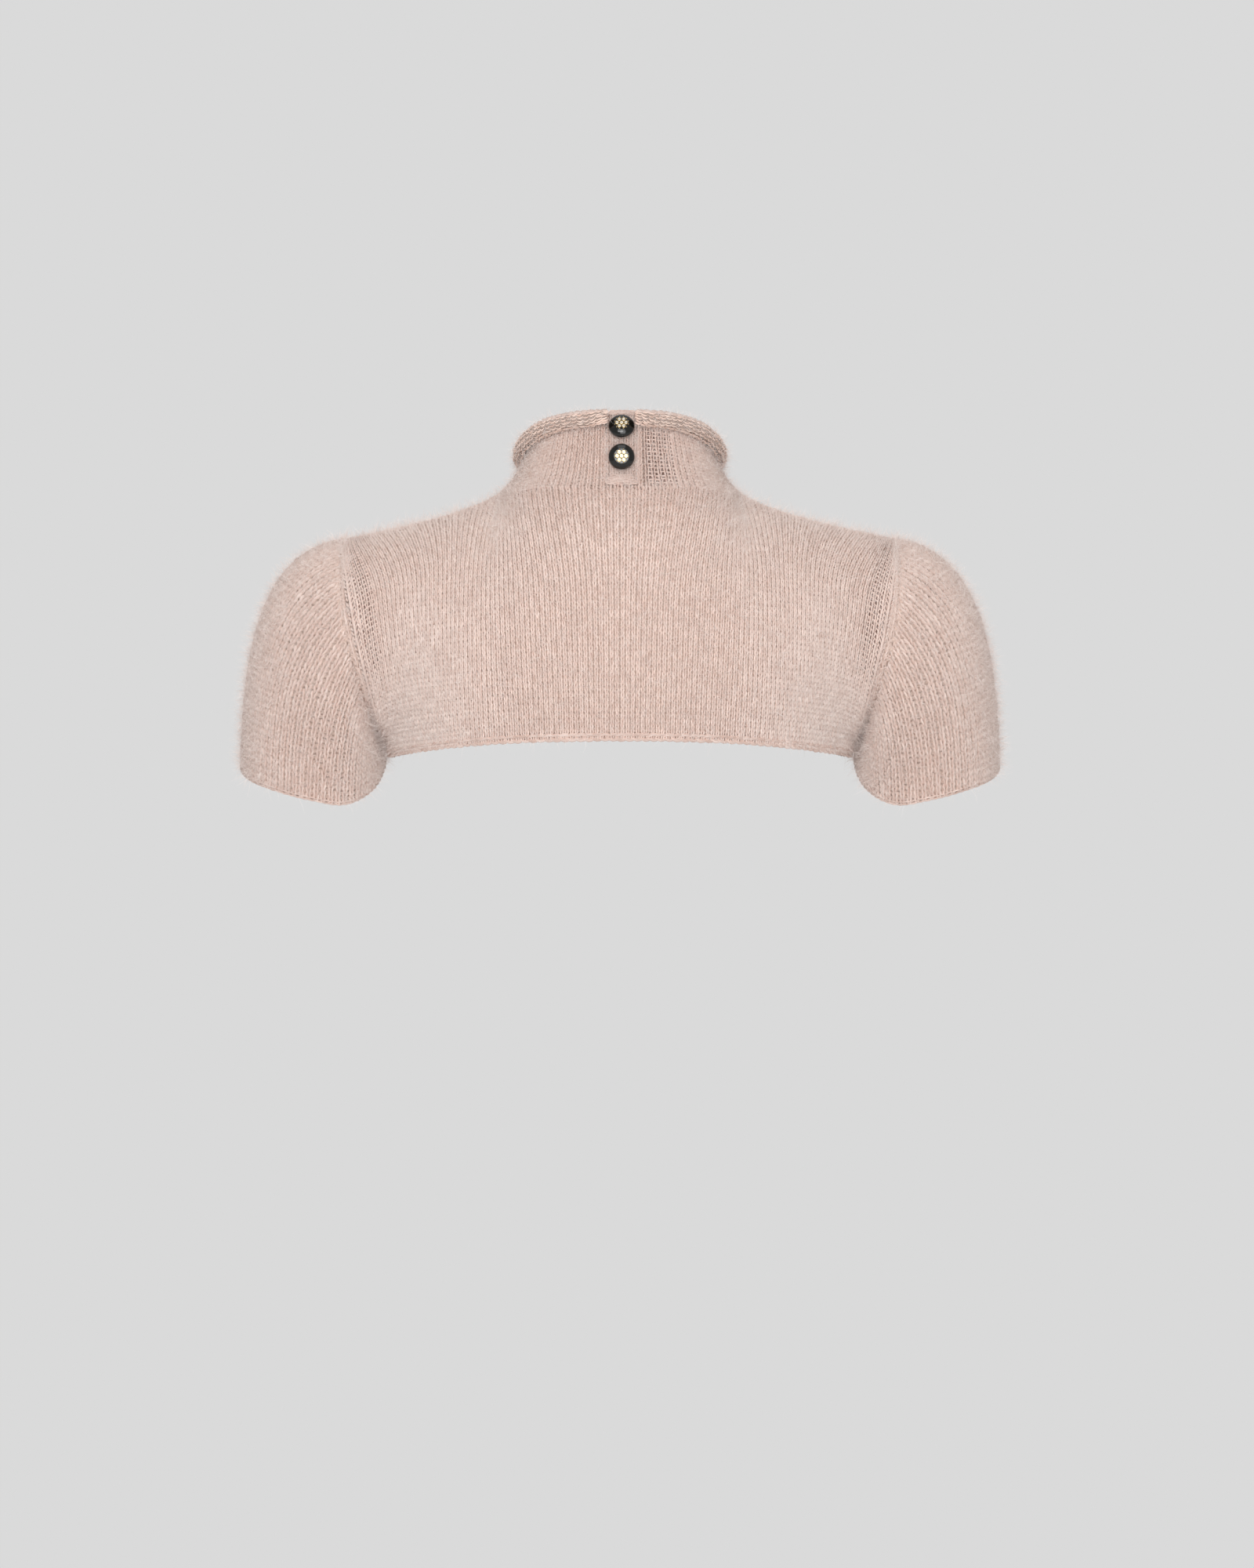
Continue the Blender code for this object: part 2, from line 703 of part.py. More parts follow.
def rosette(name):
    """A round setting of seven small stones, one in the middle and six round it."""
    sides, rings = ROSETTE_SIDES, ROSETTE_RINGS
    radii = np.linspace(0.0, ROSETTE_RADIUS, rings + 1)[1:]
    angles = np.arange(sides) * 2 * math.pi / sides
    radius, angle = np.meshgrid(radii, angles, indexing="ij")
    stone = 0.5 + 0.5 * np.cos(STONES * angle)
    ring = np.exp(-(((radius - STONE_CIRCLE) / STONE_SIZE) ** 2)) * stone
    middle = np.exp(-((radius / STONE_SIZE) ** 2))
    height = ROSETTE_BED + (ROSETTE_HEIGHT - ROSETTE_BED) * np.maximum(ring, middle)
    height[-1] = ROSETTE_RIM
    top = vectors(radius * np.cos(angle), radius * np.sin(angle), height).reshape(-1, 3)
    bottom = vectors(radii[-1] * np.cos(angles), radii[-1] * np.sin(angles), 0.0)
    points = np.concatenate([[[0.0, 0.0, ROSETTE_HEIGHT]], top, bottom])
    faces = [(0, 1 + k, 1 + (k + 1) % sides) for k in range(sides)]
    for row in range(rings):
        for k in range(sides):
            after = (k + 1) % sides
            low, high = 1 + row * sides, 1 + (row + 1) * sides
            faces.append((low + k, high + k, high + after, low + after))
    last = 1 + rings * sides
    faces.append(tuple(last + k for k in range(sides))[::-1])
    obj = solid(name, points, faces)
    place(obj, name.removesuffix("_rosette"), crown_height() + SEAM_GAP)
    return obj


def place(obj, button_name, lift):
    """Seat a turned piece on the placket, leaning with it."""
    height, tilt = BUTTON_TILTS[button_name]
    seat = placket_point(np.array([0.0]), np.array([height]))[0]
    tilt = math.radians(tilt)
    normal = np.array([0.0, -math.cos(tilt), math.sin(tilt)])
    clear = seat_clearance(height, tilt)
    obj.location = (seat + normal * (clear + lift)) * MM
    obj.rotation_euler = (math.pi / 2 - tilt, 0.0, 0.0)


def seat_clearance(height, tilt):
    """How far a button's underside stands off so that its rim just clears the placket."""
    foot = BUTTON_RADIUS - BUTTON_FOOT[0][0]
    spread = np.linspace(-foot, foot, 41)
    z = height + spread[:, None] * math.cos(tilt)
    x = spread[None, :]
    inside = spread[:, None] ** 2 + x**2 <= foot**2
    cloth = placket_point(x + 0.0 * z, z + 0.0 * x)
    seat = placket_point(np.array([0.0]), np.array([height]))[0]
    normal = np.array([0.0, -math.cos(tilt), math.sin(tilt)])
    proud = ((cloth - seat) @ normal)[inside]
    return float(proud.max()) + SEAM_GAP


# Meshes and materials


def wall(name, outside, inside, closed):
    """A closed solid between two grids of points; closed joins the last column to the first."""
    rows, columns, _ = outside.shape
    points = np.concatenate([outside.reshape(-1, 3), inside.reshape(-1, 3)])
    far = rows * columns
    faces = []
    spans = columns if closed else columns - 1
    for row in range(rows - 1):
        for column in range(spans):
            after = (column + 1) % columns
            a, b = row * columns + column, row * columns + after
            c, d = b + columns, a + columns
            faces.append((a, b, c, d))
            faces.append((far + d, far + c, far + b, far + a))
    for column in range(spans):
        after = (column + 1) % columns
        faces.append((column, far + column, far + after, after))
        last = (rows - 1) * columns
        faces.append((last + after, far + last + after, far + last + column, last + column))
    if not closed:
        for row in range(rows - 1):
            a, b = row * columns, (row + 1) * columns
            faces.append((b, far + b, far + a, a))
            a, b = a + columns - 1, b + columns - 1
            faces.append((a, far + a, far + b, b))
    return solid(name, points, faces)


def solid(name, points, faces):
    """An object from points in millimetres and faces, turned so that its faces look outward."""
    corners = np.array([(f[0], f[k], f[k + 1]) for f in faces for k in range(1, len(f) - 1)])
    a, b, c = points[corners[:, 0]], points[corners[:, 1]], points[corners[:, 2]]
    if np.einsum("ij,ij->i", a, np.cross(b, c)).sum() < 0:
        faces = [f[::-1] for f in faces]
    mesh = bpy.data.meshes.new(name)
    mesh.from_pydata((points * MM).tolist(), [], [list(map(int, f)) for f in faces])
    mesh.update()
    mesh.shade_smooth()
    mesh.set_sharp_from_angle(angle=math.radians(50))
    obj = bpy.data.objects.new(name, mesh)
    bpy.context.scene.collection.objects.link(obj)
    return obj


def material(name, color, roughness, metallic=0.0):
    """A plain finish with one colour."""
    mat = bpy.data.materials.new(name)
    mat.use_nodes = True
    shader = mat.node_tree.nodes["Principled BSDF"]
    shader.inputs["Base Color"].default_value = (*color, 1.0)
    shader.inputs["Roughness"].default_value = roughness
    shader.inputs["Metallic"].default_value = metallic
    return mat


def build():
    """Make every piece of the garment."""
    for obj in list(bpy.data.objects):
        bpy.data.objects.remove(obj)
    knit = material("blush_knit", (0.70, 0.53, 0.47), 0.95)
    gloss = material("black_gloss", (0.012, 0.010, 0.009), 0.12)
    gold = material("gold_crystal", (0.80, 0.66, 0.42), 0.25, metallic=1.0)
    pieces = {
        knit: [
            body_panel(BACK, "back_panel"),
            body_panel(FRONT, "front_panel"),
            sleeve("sleeve_right", 1),
            sleeve("sleeve_left", -1),
            collar("collar"),
            placket("button_placket"),
        ],
        gloss: [button("button_top"), button("button_bottom")],
        gold: [rosette("button_top_rosette"), rosette("button_bottom_rosette")],
    }
    for finish, objects in pieces.items():
        for obj in objects:
            obj.data.materials.append(finish)


build()
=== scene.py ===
"""Looks of a cropped knit top with short set-in sleeves and a rolled funnel neck.

Every panel gets a thin base cloth and one raised yarn strand for each half of each stitch, laid
on the same surface that the panel's solid has. Chains finish the hem, the cuffs and the rolled
edge, and loose fibres stand off the cloth all over. Shapes are worked out in millimetres and
become metres when their meshes are made. +Z is up and the back faces -Y.
"""

import functools
import logging
import math
from dataclasses import dataclass, replace
from enum import Enum
from typing import ClassVar, NamedTuple

import bpy
import numpy as np
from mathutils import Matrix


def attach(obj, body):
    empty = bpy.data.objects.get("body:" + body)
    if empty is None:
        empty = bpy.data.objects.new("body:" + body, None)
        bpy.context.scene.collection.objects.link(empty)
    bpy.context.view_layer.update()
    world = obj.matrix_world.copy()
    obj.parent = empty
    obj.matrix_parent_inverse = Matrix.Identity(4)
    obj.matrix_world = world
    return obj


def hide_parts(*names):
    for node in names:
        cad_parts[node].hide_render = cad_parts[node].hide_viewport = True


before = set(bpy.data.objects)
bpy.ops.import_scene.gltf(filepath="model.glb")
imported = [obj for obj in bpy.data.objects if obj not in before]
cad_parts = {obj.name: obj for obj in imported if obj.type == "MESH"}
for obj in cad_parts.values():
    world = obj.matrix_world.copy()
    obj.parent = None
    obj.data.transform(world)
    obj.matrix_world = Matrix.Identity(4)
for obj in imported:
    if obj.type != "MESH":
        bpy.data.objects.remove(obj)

logging.basicConfig(level=logging.INFO, format="%(message)s")
LOG = logging.getLogger("knit_top")

Array = np.ndarray

MM = 0.001

# How far apart two places on a surface are taken to find its direction there
STEP = 1e-4

# The base cloth: its depth under the knit's surface, the same at a seam, and its thickness
CLOTH_DEPTH = 1.2
SEAM_DEPTH = 0.6
CLOTH_THICKNESS = 1.0

# Sizes shared with the part's solids, in millimetres
WALL = 2.4
SEAM_GAP = 0.3
HEM_HALF_WIDTH = 139.8
HEM_CENTRE_Y = 8.0
HEM_SQUARENESS = 2.2
HEM_SIDE_Z = -148.0
HEM_SIDE_DROP = 2.4
UNDERARM = (142.5, 8.0, -139.0)
SIDE_SEAM_SHARE = 0.06
EDGE_PULL = 4
NECK_HALF_WIDTH = 71.0
NECK_HALF_DEPTH = 62.0
NECK_CENTRE_Y = -4.0
NECK_TOP_Z = 11.0
NECK_COLUMN_X = 68.0
NECK_SPREAD = 1.16
NECK_PINCH = 0.116
NECK_SLOPE = 27.9
NECK_CROWN = 23.0
SHOULDER_TIP = (165.0, 2.0, -17.5)
SHOULDER_LEAVE = (14.0, 2.0, -11.0)
SHOULDER_ARRIVE = (-42.0, 0.0, 8.5)
SHOULDER_CROWD = 1.87
CUFF_CENTRE_X = 184.3
CUFF_CENTRE_Y = 8.0
CUFF_HALF_WIDTH = 43.5
CUFF_HALF_DEPTH = 50.0
CUFF_BACK_DROP = 19.0
CUFF_LEAN_X = -0.03
CUFF_LEAN_Y = -0.12
ROLL_HALF_WIDTH = 58.2
ROLL_BACK_Y = -62.5
ROLL_FRONT_Y = 50.0
ROLL_SIDE_Z = 32.0
ROLL_TILT = 19.0
ROLL_LIFT = 1.5
ROLL_LEAN_SIDE = 0.62
ROLL_LEAN_FRONT = 0.25
ROLL_RADIUS_BACK = 4.6
ROLL_RADIUS_SIDE = 5.8
ROLL_END_ANGLE = math.radians(-60.0)
SLIT_CURL = 0.8
SLIT_CURL_DEGREES = (8.0, 20.0)
SLIT_ANGLE = 0.2
PLACKET_X = 1.0
PLACKET_HALF_WIDTH = 9.0
PLACKET_RISE = 0.6
PLACKET_TOP_Z = 55.6
PLACKET_BEND_Z = 34.5
PLACKET_BEND = 0.0194
BUTTON_RADIUS = 7.7
BUTTON_HEIGHT = 5.2
BUTTON_EDGE = 1.4
BUTTON_FOOT_INSET = 1.2
BUTTON_TILTS = {"button_bottom": (28.0, 4.0), "button_top": (45.4, 30.0)}
BUTTON_CROWN_DEGREES = 50.0
BUTTON_CROWN_RISE = 0.25

# Cosines of the angle from the back between which the rolled edge becomes thin
ROLL_THIN_COSINES = (0.2, 1.0)

# Samples in the tables of the form, and how often the neck line's reach is halved
NECK_SAMPLES = 181
NECK_HALVINGS = 40
TABLE_SAMPLES = 61
PLACKET_SAMPLES = 60

# The base cloth's tone under close knit, and the share of it that the rolled edge goes without,
# painted light against the shade inside the roll
GROUND_TONE = 0.42
ROLL_PAINTED_LIGHT = 0.5

# Painted shade: what is added to the stitches' tone at the neck line, and how many columns and rows
# it fades over
NECK_PAINTED_SHADE = -0.34
NECK_SHADE_COLUMNS = 12
NECK_SHADE_ROWS = 15.0

# The cords under the seams: points round an armhole and along a shoulder, sides, radius, depth
# under the seam, how far the closed ends reach past it, and tone, kept light as painted light in
# the seam's groove
SEAM_STEPS = 180
SHOULDER_STEPS = 40
CORD_SIDES = 10
CORD_RADIUS = 2.0
CORD_SINK = 0.3
CORD_END = 0.6
CORD_TONE = 0.08

# The height of a knitted row on the body and the sleeves, and the rows of a body's base cloth
ROW_PITCH = 3.05
SLEEVE_PITCH = 3.85
CLOTH_ROWS = 40

# Columns and rows of the sleeves, the collar, its rolled edge and the placket
SLEEVE_WALES = 64
COLLAR_WALES = 99
STAND_ROWS = 18
ROLL_ROWS = 11
PLACKET_WALES = 7
PLACKET_ROWS = 19

# How far the placket's knit reaches to either side of its middle, and over the solid's top
PLACKET_REACH = 10.5
PLACKET_OVER = 1.0


class Side(Enum):
    """Which sleeve a piece belongs to, by the sign of X on that side."""

    RIGHT = 1
    LEFT = -1


@dataclass(frozen=True)
class Panel:
    """Sizes that differ between the back panel and the front panel.

    Each column row holds the share of the half width, the handle with which the line leaves the
    hem (x, y, z), and the control point before the ridge (x beside its end, then y and z).
    """

    name: str
    sign: float
    hem_depth: float
    hem_centre_z: float
    columns: tuple[tuple[float, ...], ...]


BACK = Panel(
    name="back",
    sign=-1.0,
    hem_depth=108.0,
    hem_centre_z=-138.8,
    columns=(
        (0.000, 0.0, -10.0, 52.0, 0.0, -84.0, 40.0),
        (0.180, 1.0, -12.0, 54.0, 3.0, -83.0, 20.0),
        (0.300, 3.0, -17.0, 57.0, 3.0, -81.0, -2.0),
        (0.500, 6.0, -20.0, 62.0, 0.0, -76.0, -8.0),
        (0.667, 10.0, -24.0, 62.0, 0.0, -68.0, -13.5),
        (0.850, 14.0, -42.0, 44.0, 2.0, -65.0, -20.0),
        (1.000, 6.0, -62.0, 26.0, 3.0, -62.0, -25.5),
    ),
)
FRONT = Panel(
    name="front",
    sign=1.0,
    hem_depth=92.0,
    hem_centre_z=-131.0,
    columns=(
        (0.000, 0.0, 8.0, 36.0, 0.0, 74.0, -10.0),
        (0.180, 1.0, 10.0, 40.0, 2.0, 72.0, -8.0),
        (0.300, 3.0, 13.0, 50.0, 3.0, 68.0, -9.0),
        (0.500, 6.0, 16.0, 56.0, 0.0, 61.0, -9.0),
        (0.667, 8.0, 20.0, 56.0, 0.0, 55.0, -13.5),
        (0.850, 10.0, 34.0, 40.0, 1.0, 46.0, -20.0),
        (1.000, 4.0, 46.0, 20.0, 2.0, 36.0, -25.5),
    ),
)

# Armhole seam: a point, then the handle with which the sleeve leaves it
ARMHOLE = (
    (*SHOULDER_TIP, 56.0, 0.0, -7.0),
    (166.0, -27.5, -27.5, 50.0, -3.0, -12.0),
    (165.3, -47.0, -46.0, 40.0, -3.0, -26.0),
    (163.2, -56.5, -66.0, 28.0, -4.0, -31.0),
    (158.8, -58.0, -85.5, 17.0, -8.0, -30.0),
    (153.2, -50.0, -105.0, 9.0, -13.0, -24.0),
    (148.0, -33.0, -124.0, 3.0, -12.0, -14.0),
    (144.3, -12.0, -136.0, 0.0, -4.0, -6.0),
    (*UNDERARM, 0.0, 0.0, -4.0),
    (145.0, 29.0, -135.0, 0.0, 3.0, -6.0),
    (149.5, 46.0, -119.0, 4.0, 8.0, -14.0),
    (154.5, 54.0, -98.0, 10.0, 9.0, -24.0),
    (158.5, 54.0, -76.0, 17.0, 9.0, -28.0),
    (162.0, 48.0, -55.0, 28.0, 10.0, -28.0),
    (165.0, 37.0, -36.0, 43.0, 9.0, -21.0),
    (166.0, 20.0, -22.5, 53.0, 5.0, -11.0),
)
UNDERARM_STATION = 8

# Cuff: degrees from the outer side, height, and the rise of its handle
CUFF = (
    (0.0, -154.0, 56.0),
    (30.0, -152.5, 52.0),
    (60.0, -152.0, 46.0),
    (90.0, -155.2, 40.0),
    (120.0, -160.5, 28.0),
    (150.0, -158.0, 14.0),
    (180.0, -150.5, 4.0),
)


def smooth_table(places: Array, values: Array, at: Array) -> Array:
    """Read a table at any places along a smooth curve through its rows.

    Args:
        places: where the rows stand, rising.
        values: one row of values, or one value, for each place.
        at: where to read the table.

    Returns:
        The values there, with a last axis where the rows have one.
    """
    places = np.asarray(places, dtype=float)
    values = np.asarray(values, dtype=float)
    at = np.clip(np.asarray(at, dtype=float), places[0], places[-1])
    slopes = np.gradient(values, places, axis=0)
    row = np.clip(np.searchsorted(places, at, side="right") - 1, 0, len(places) - 2)
    step = places[row + 1] - places[row]
    u = (at - places[row]) / step
    if values.ndim > 1:
        step, u = step[..., None], u[..., None]
    start = values[row] * (1 + 2 * u) * (1 - u) ** 2 + slopes[row] * step * u * (1 - u) ** 2
    end = values[row + 1] * u**2 * (3 - 2 * u) - slopes[row + 1] * step * u**2 * (1 - u)
    return start + end


def bezier(start: Array, leave: Array, arrive: Array, end: Array, t: Array) -> Array:
    """Points of cubic curves between two ends with a handle each.

    Args:
        start: first points.
        leave: handles from the first points.
        arrive: handles from the last points.
        end: last points.
        t: place along each curve, from 0 to 1.

    Returns:
        The points.
    """
    t = np.asarray(t)[..., None]
    first = start * (1 - t) ** 3 + 3 * (start + leave) * t * (1 - t) ** 2
    return first + 3 * (end + arrive) * t**2 * (1 - t) + end * t**3


def unit(directions: Array) -> Array:
    """The same directions with a length of one."""
    length = np.linalg.norm(directions, axis=-1, keepdims=True)
    return directions / np.maximum(length, 1e-9)


def vectors(x: Array | float, y: Array | float, z: Array | float) -> Array:
    """One array of points from three coordinates that broadcast together."""
    return np.stack(np.broadcast_arrays(x, y, z), axis=-1).astype(float)


def smooth_step(low: float, high: float, value: Array) -> Array:
    """A soft change from 0 at low to 1 at high."""
    u = np.clip((value - low) / (high - low), 0.0, 1.0)
    return u * u * (3 - 2 * u)


def lengths_along(points: Array) -> Array:
    """How far along its line each point lies, where a line runs along the last axis but one."""
    steps = np.linalg.norm(np.diff(points, axis=-2), axis=-1)
    return np.concatenate([np.zeros_like(steps[..., :1]), np.cumsum(steps, axis=-1)], axis=-1)


def fold(angle: Array) -> Array:
    """An angle all the way round as one from 0 to half a turn, alike on both sides."""
    return np.arccos(np.cos(angle))


# Form of the body


def hem_x(share: Array) -> Array:
    """How far out a column of the body starts on the hem."""
    return HEM_HALF_WIDTH * np.sin(share * math.pi / 2) ** (2 / HEM_SQUARENESS)


@functools.lru_cache(maxsize=None)
def neck_share() -> float:
    """The share of the half width at which the neck line meets the shoulder seam."""
    sine = (NECK_COLUMN_X / HEM_HALF_WIDTH) ** (HEM_SQUARENESS / 2)
    return math.asin(sine) / (math.pi / 2)


def ridge_point(share: Array) -> Array:
    """A point of the ridge from which both panels hang: over the neck, then the seam."""
    low = neck_share()
    start = hem_x(np.minimum(share, low))
    x = start * (NECK_SPREAD - NECK_PINCH * (start / NECK_COLUMN_X) ** 2)
    rise = 1 - (x / NECK_HALF_WIDTH) ** 2
    over = vectors(x, NECK_CENTRE_Y, NECK_TOP_Z + NECK_SLOPE * rise + NECK_CROWN * rise**2)
    along = np.clip((share - low) / (1 - low), 0.0, 1.0)
    seam = bezier(
        np.array([NECK_HALF_WIDTH, NECK_CENTRE_Y, NECK_TOP_Z]),
        np.array(SHOULDER_LEAVE),
        np.array(SHOULDER_ARRIVE),
        np.array(SHOULDER_TIP),
        1 - (1 - along) ** SHOULDER_CROWD,
    )
    return np.where((share <= low)[..., None], over, seam)


@functools.lru_cache(maxsize=None)
def armhole_table() -> tuple[Array, Array, float, float]:
    """The armhole's stations, their places along it, its whole length and the underarm's."""
    rows = np.array(ARMHOLE + ARMHOLE[:1])
    places = lengths_along(rows[:, :3])
    whole, under = float(places[-1]), float(places[UNDERARM_STATION])
    places = np.concatenate([places[-3:-1] - whole, places, places[1:3] + whole])
    rows = np.concatenate([rows[-3:-1], rows, rows[1:3]])
    return rows, places, whole, under


def armhole(front: bool, down: Array) -> tuple[Array, Array]:
    """Armhole seam and the sleeve's handle, by how far down from the shoulder tip it lies."""
    rows, places, whole, under = armhole_table()
    down = np.asarray(down, dtype=float)
    values = smooth_table(places, rows, whole - down * (whole - under) if front else down * under)
    return values[..., :3], values[..., 3:]


def panel_edge(panel: Panel, t: Array) -> Array:
    """The panel's outer edge: the side seam, then the armhole up to the shoulder tip."""
    hem = np.array([HEM_HALF_WIDTH, HEM_CENTRE_Y, HEM_SIDE_Z])
    up = np.clip(t / SIDE_SEAM_SHARE, 0.0, 1.0)[..., None]
    side = hem * (1 - up) + np.array(UNDERARM) * up
    down = 1 - np.clip((t - SIDE_SEAM_SHARE) / (1 - SIDE_SEAM_SHARE), 0.0, 1.0)
    seam, _ = armhole(panel.sign > 0, down)
    return np.where((t < SIDE_SEAM_SHARE)[..., None], side, seam)


def column_curve(panel: Panel, share: Array, t: Array) -> Array:
    """A column's own curve from the hem to the ridge."""
    depth = np.cos(share * math.pi / 2) ** (2 / HEM_SQUARENESS)
    x = hem_x(share)
    drop = (x / HEM_HALF_WIDTH) ** HEM_SIDE_DROP
    hem = vectors(
        x,
        HEM_CENTRE_Y + panel.sign * panel.hem_depth * depth,
        panel.hem_centre_z + (HEM_SIDE_Z - panel.hem_centre_z) * drop,
    )
    top = ridge_point(share)
    table = np.array(panel.columns)
    values = smooth_table(table[:, 0], table[:, 1:], share)
    arrive = vectors(values[..., 3], values[..., 4] - top[..., 1], values[..., 5] - top[..., 2])
    return bezier(hem, values[..., :3], arrive, top, t)


def panel_skin(panel: Panel, place: Array, t: Array) -> Array:
    """A point of a body panel's outside before the neck is cut."""
    share = np.minimum(np.abs(place), 1.0)
    pull = panel_edge(panel, t) - column_curve(panel, np.ones_like(share), t)
    point = column_curve(panel, share, t) + pull * (share**EDGE_PULL)[..., None]
    point[..., 0] *= np.sign(place)
    return point


@functools.lru_cache(maxsize=None)
def neck_table(panel: Panel) -> tuple[Array, Array, Array]:
    """The neck line on a panel: each column's corner angle, its reach and its neck angle."""
    corner = np.linspace(0.0, math.pi / 2, NECK_SAMPLES)
    share = neck_share() * np.sin(corner)
    low, high = np.zeros_like(share), np.ones_like(share)
    for _ in range(NECK_HALVINGS):
        middle = (low + high) / 2
        point = panel_skin(panel, share, middle)
        x = point[..., 0] / NECK_HALF_WIDTH
        y = (point[..., 1] - NECK_CENTRE_Y) / NECK_HALF_DEPTH
        within = x**2 + y**2 < 1
        high = np.where(within, middle, high)
        low = np.where(within, low, middle)
    high[-1] = 1.0
    point = panel_skin(panel, share, high)
    around = np.arctan2(
        point[..., 0] / NECK_HALF_WIDTH,
        (point[..., 1] - NECK_CENTRE_Y) / NECK_HALF_DEPTH * panel.sign,
    )
    return corner, high, around


def reach(panel: Panel, place: Array) -> Array:
    """How far up its curve a column goes before the neck line or the shoulder seam."""
    corner, high, _ = neck_table(panel)
    share = np.clip(np.abs(place) / neck_share(), 0.0, 1.0)
    return np.interp(np.arcsin(share), corner, high)


def neck_place(panel: Panel, around: Array) -> Array:
    """The place of the column that ends on the neck line at an angle from its middle."""
    corner, _, angles = neck_table(panel)
    return neck_share() * np.sin(np.interp(around, angles, corner))


# Form of the sleeves


def cuff_point(angle: Array) -> tuple[Array, Array]:
    """A point of the cuff and its handle, by the angle from the outer side round the back."""
    table = np.array(CUFF)
    values = smooth_table(table[:, 0], table[:, 1:], np.degrees(fold(angle)))
    rise = values[..., 1]
    point = vectors(
        CUFF_CENTRE_X + CUFF_HALF_WIDTH * np.cos(angle),
        CUFF_CENTRE_Y - CUFF_HALF_DEPTH * np.sin(angle),
        values[..., 0] - CUFF_BACK_DROP * np.sin(angle),
    )
    return point, vectors(CUFF_LEAN_X * rise, CUFF_LEAN_Y * rise, rise)


def sleeve_point(angle: Array, t: Array) -> Array:
    """A point of the sleeve's outside, by the angle round it and t from seam to cuff."""
    angle = np.mod(angle, 2 * math.pi)
    down = np.where(angle <= math.pi, angle, 2 * math.pi - angle) / math.pi
    back, back_out = armhole(False, down)
    front, front_out = armhole(True, down)
    behind = (angle <= math.pi)[..., None]
    seam = np.where(behind, back, front)
    leave = np.where(behind, back_out, front_out)
    cuff, arrive = cuff_point(angle)
    return bezier(seam, leave, arrive, cuff, t)


# Form of the neck and the placket


UP = np.array([0.0, 0.0, 1.0])


def outwards(angle: Array) -> Array:
    """The level direction away from the neck's middle, by the angle round it from the back."""
    return unit(vectors(np.sin(angle), -np.cos(angle), 0.0 * angle))


def roll_radius(angle: Array) -> Array:
    """The rolled edge's outer radius, thinner at the back than at the sides and front."""
    back = smooth_step(*ROLL_THIN_COSINES, np.cos(angle))
    return ROLL_RADIUS_SIDE + (ROLL_RADIUS_BACK - ROLL_RADIUS_SIDE) * back


def roll_centre(angle: Array) -> Array:
    """The middle of the rolled edge, by the angle round the neck from the back."""
    middle = (ROLL_BACK_Y + ROLL_FRONT_Y) / 2
    half = (ROLL_FRONT_Y - ROLL_BACK_Y) / 2
    z = ROLL_SIDE_Z + ROLL_TILT * np.cos(angle)
    z = z + np.where(np.cos(angle) > 0, ROLL_LIFT * np.sin(2 * angle) ** 2, 0.0)
    return vectors(ROLL_HALF_WIDTH * np.sin(angle), middle - half * np.cos(angle), z)


def roll_lean(angle: Array) -> Array:
    """How far the stand leans outward where it meets the roll, in radians."""
    return ROLL_LEAN_SIDE * np.sin(angle) ** 2 + ROLL_LEAN_FRONT * np.clip(-np.cos(angle), 0, 1)


def collar_base(angle: Array) -> Array:
    """The neck line all the way round, by the angle from the back."""
    folded = fold(angle)
    back_place = neck_place(BACK, folded)
    front_place = neck_place(FRONT, math.pi - folded)
    back = panel_skin(BACK, back_place, reach(BACK, back_place))
    front = panel_skin(FRONT, front_place, reach(FRONT, front_place))
    point = np.where((folded <= math.pi / 2)[..., None], back, front)
    point[..., 0] *= np.where(np.sin(angle) < 0, -1.0, 1.0)
    return point


@functools.lru_cache(maxsize=None)
def flare_table() -> tuple[Array, Array]:
    """Angles round the neck and the direction, outward and upward, in which the stand leaves."""
    table = np.linspace(0.0, math.pi, TABLE_SAMPLES)
    out = []
    for angle in table:
        panel = BACK if angle <= math.pi / 2 else FRONT
        around = angle if panel is BACK else math.pi - angle
        place = np.minimum(neck_place(panel, np.array([around])), neck_share() - STEP)
        t = reach(panel, place)
        du = panel_skin(panel, place + STEP, t) - panel_skin(panel, place - STEP, t)
        dv = panel_skin(panel, place, t + STEP) - panel_skin(panel, place, t - STEP)
        normal = unit(np.cross(du, dv))[0] * -panel.sign
        away = normal[0] * math.sin(angle) - normal[1] * math.cos(angle)
        out.append((-normal[2], away))
    return table, unit(np.array(out))


def collar_ring(angle: Array, turn: Array, radius: Array) -> Array:
    """A point round the rolled edge's own centre line."""
    formed = SLIT_CURL + (1 - SLIT_CURL) * smooth_step(*SLIT_CURL_DEGREES, np.degrees(fold(angle)))
    first = math.pi + roll_lean(angle)
    bend = first + (ROLL_END_ANGLE - first) * turn * formed
    spoke = outwards(angle) * np.cos(bend)[..., None] + UP * np.sin(bend)[..., None]
    return roll_centre(angle) + radius[..., None] * spoke


def collar_path(angle: Array, level: Array) -> Array:
    """The stand's outside, then the inside of the roll. level is 0 to 1, then 1 to 2."""
    outward = outwards(angle)
    radius = roll_radius(angle) - WALL
    ring = collar_ring(angle, np.clip(level - 1, 0.0, 1.0), radius)
    start = collar_ring(angle, np.zeros_like(level), radius)
    base = collar_base(angle)
    table, flares = flare_table()
    flare = np.stack([np.interp(fold(angle), table, part) for part in flares.T], axis=-1)
    lean = roll_lean(angle)
    length = np.linalg.norm(start - base, axis=-1)[..., None] / 3
    leave = (outward * flare[..., :1] + UP * flare[..., 1:]) * length
    arrive = -length * (outward * -np.sin(lean)[..., None] + UP * np.cos(lean)[..., None])
    stand = bezier(base, leave, arrive, start, np.minimum(level, 1.0))
    return np.where((level <= 1)[..., None], stand, ring)


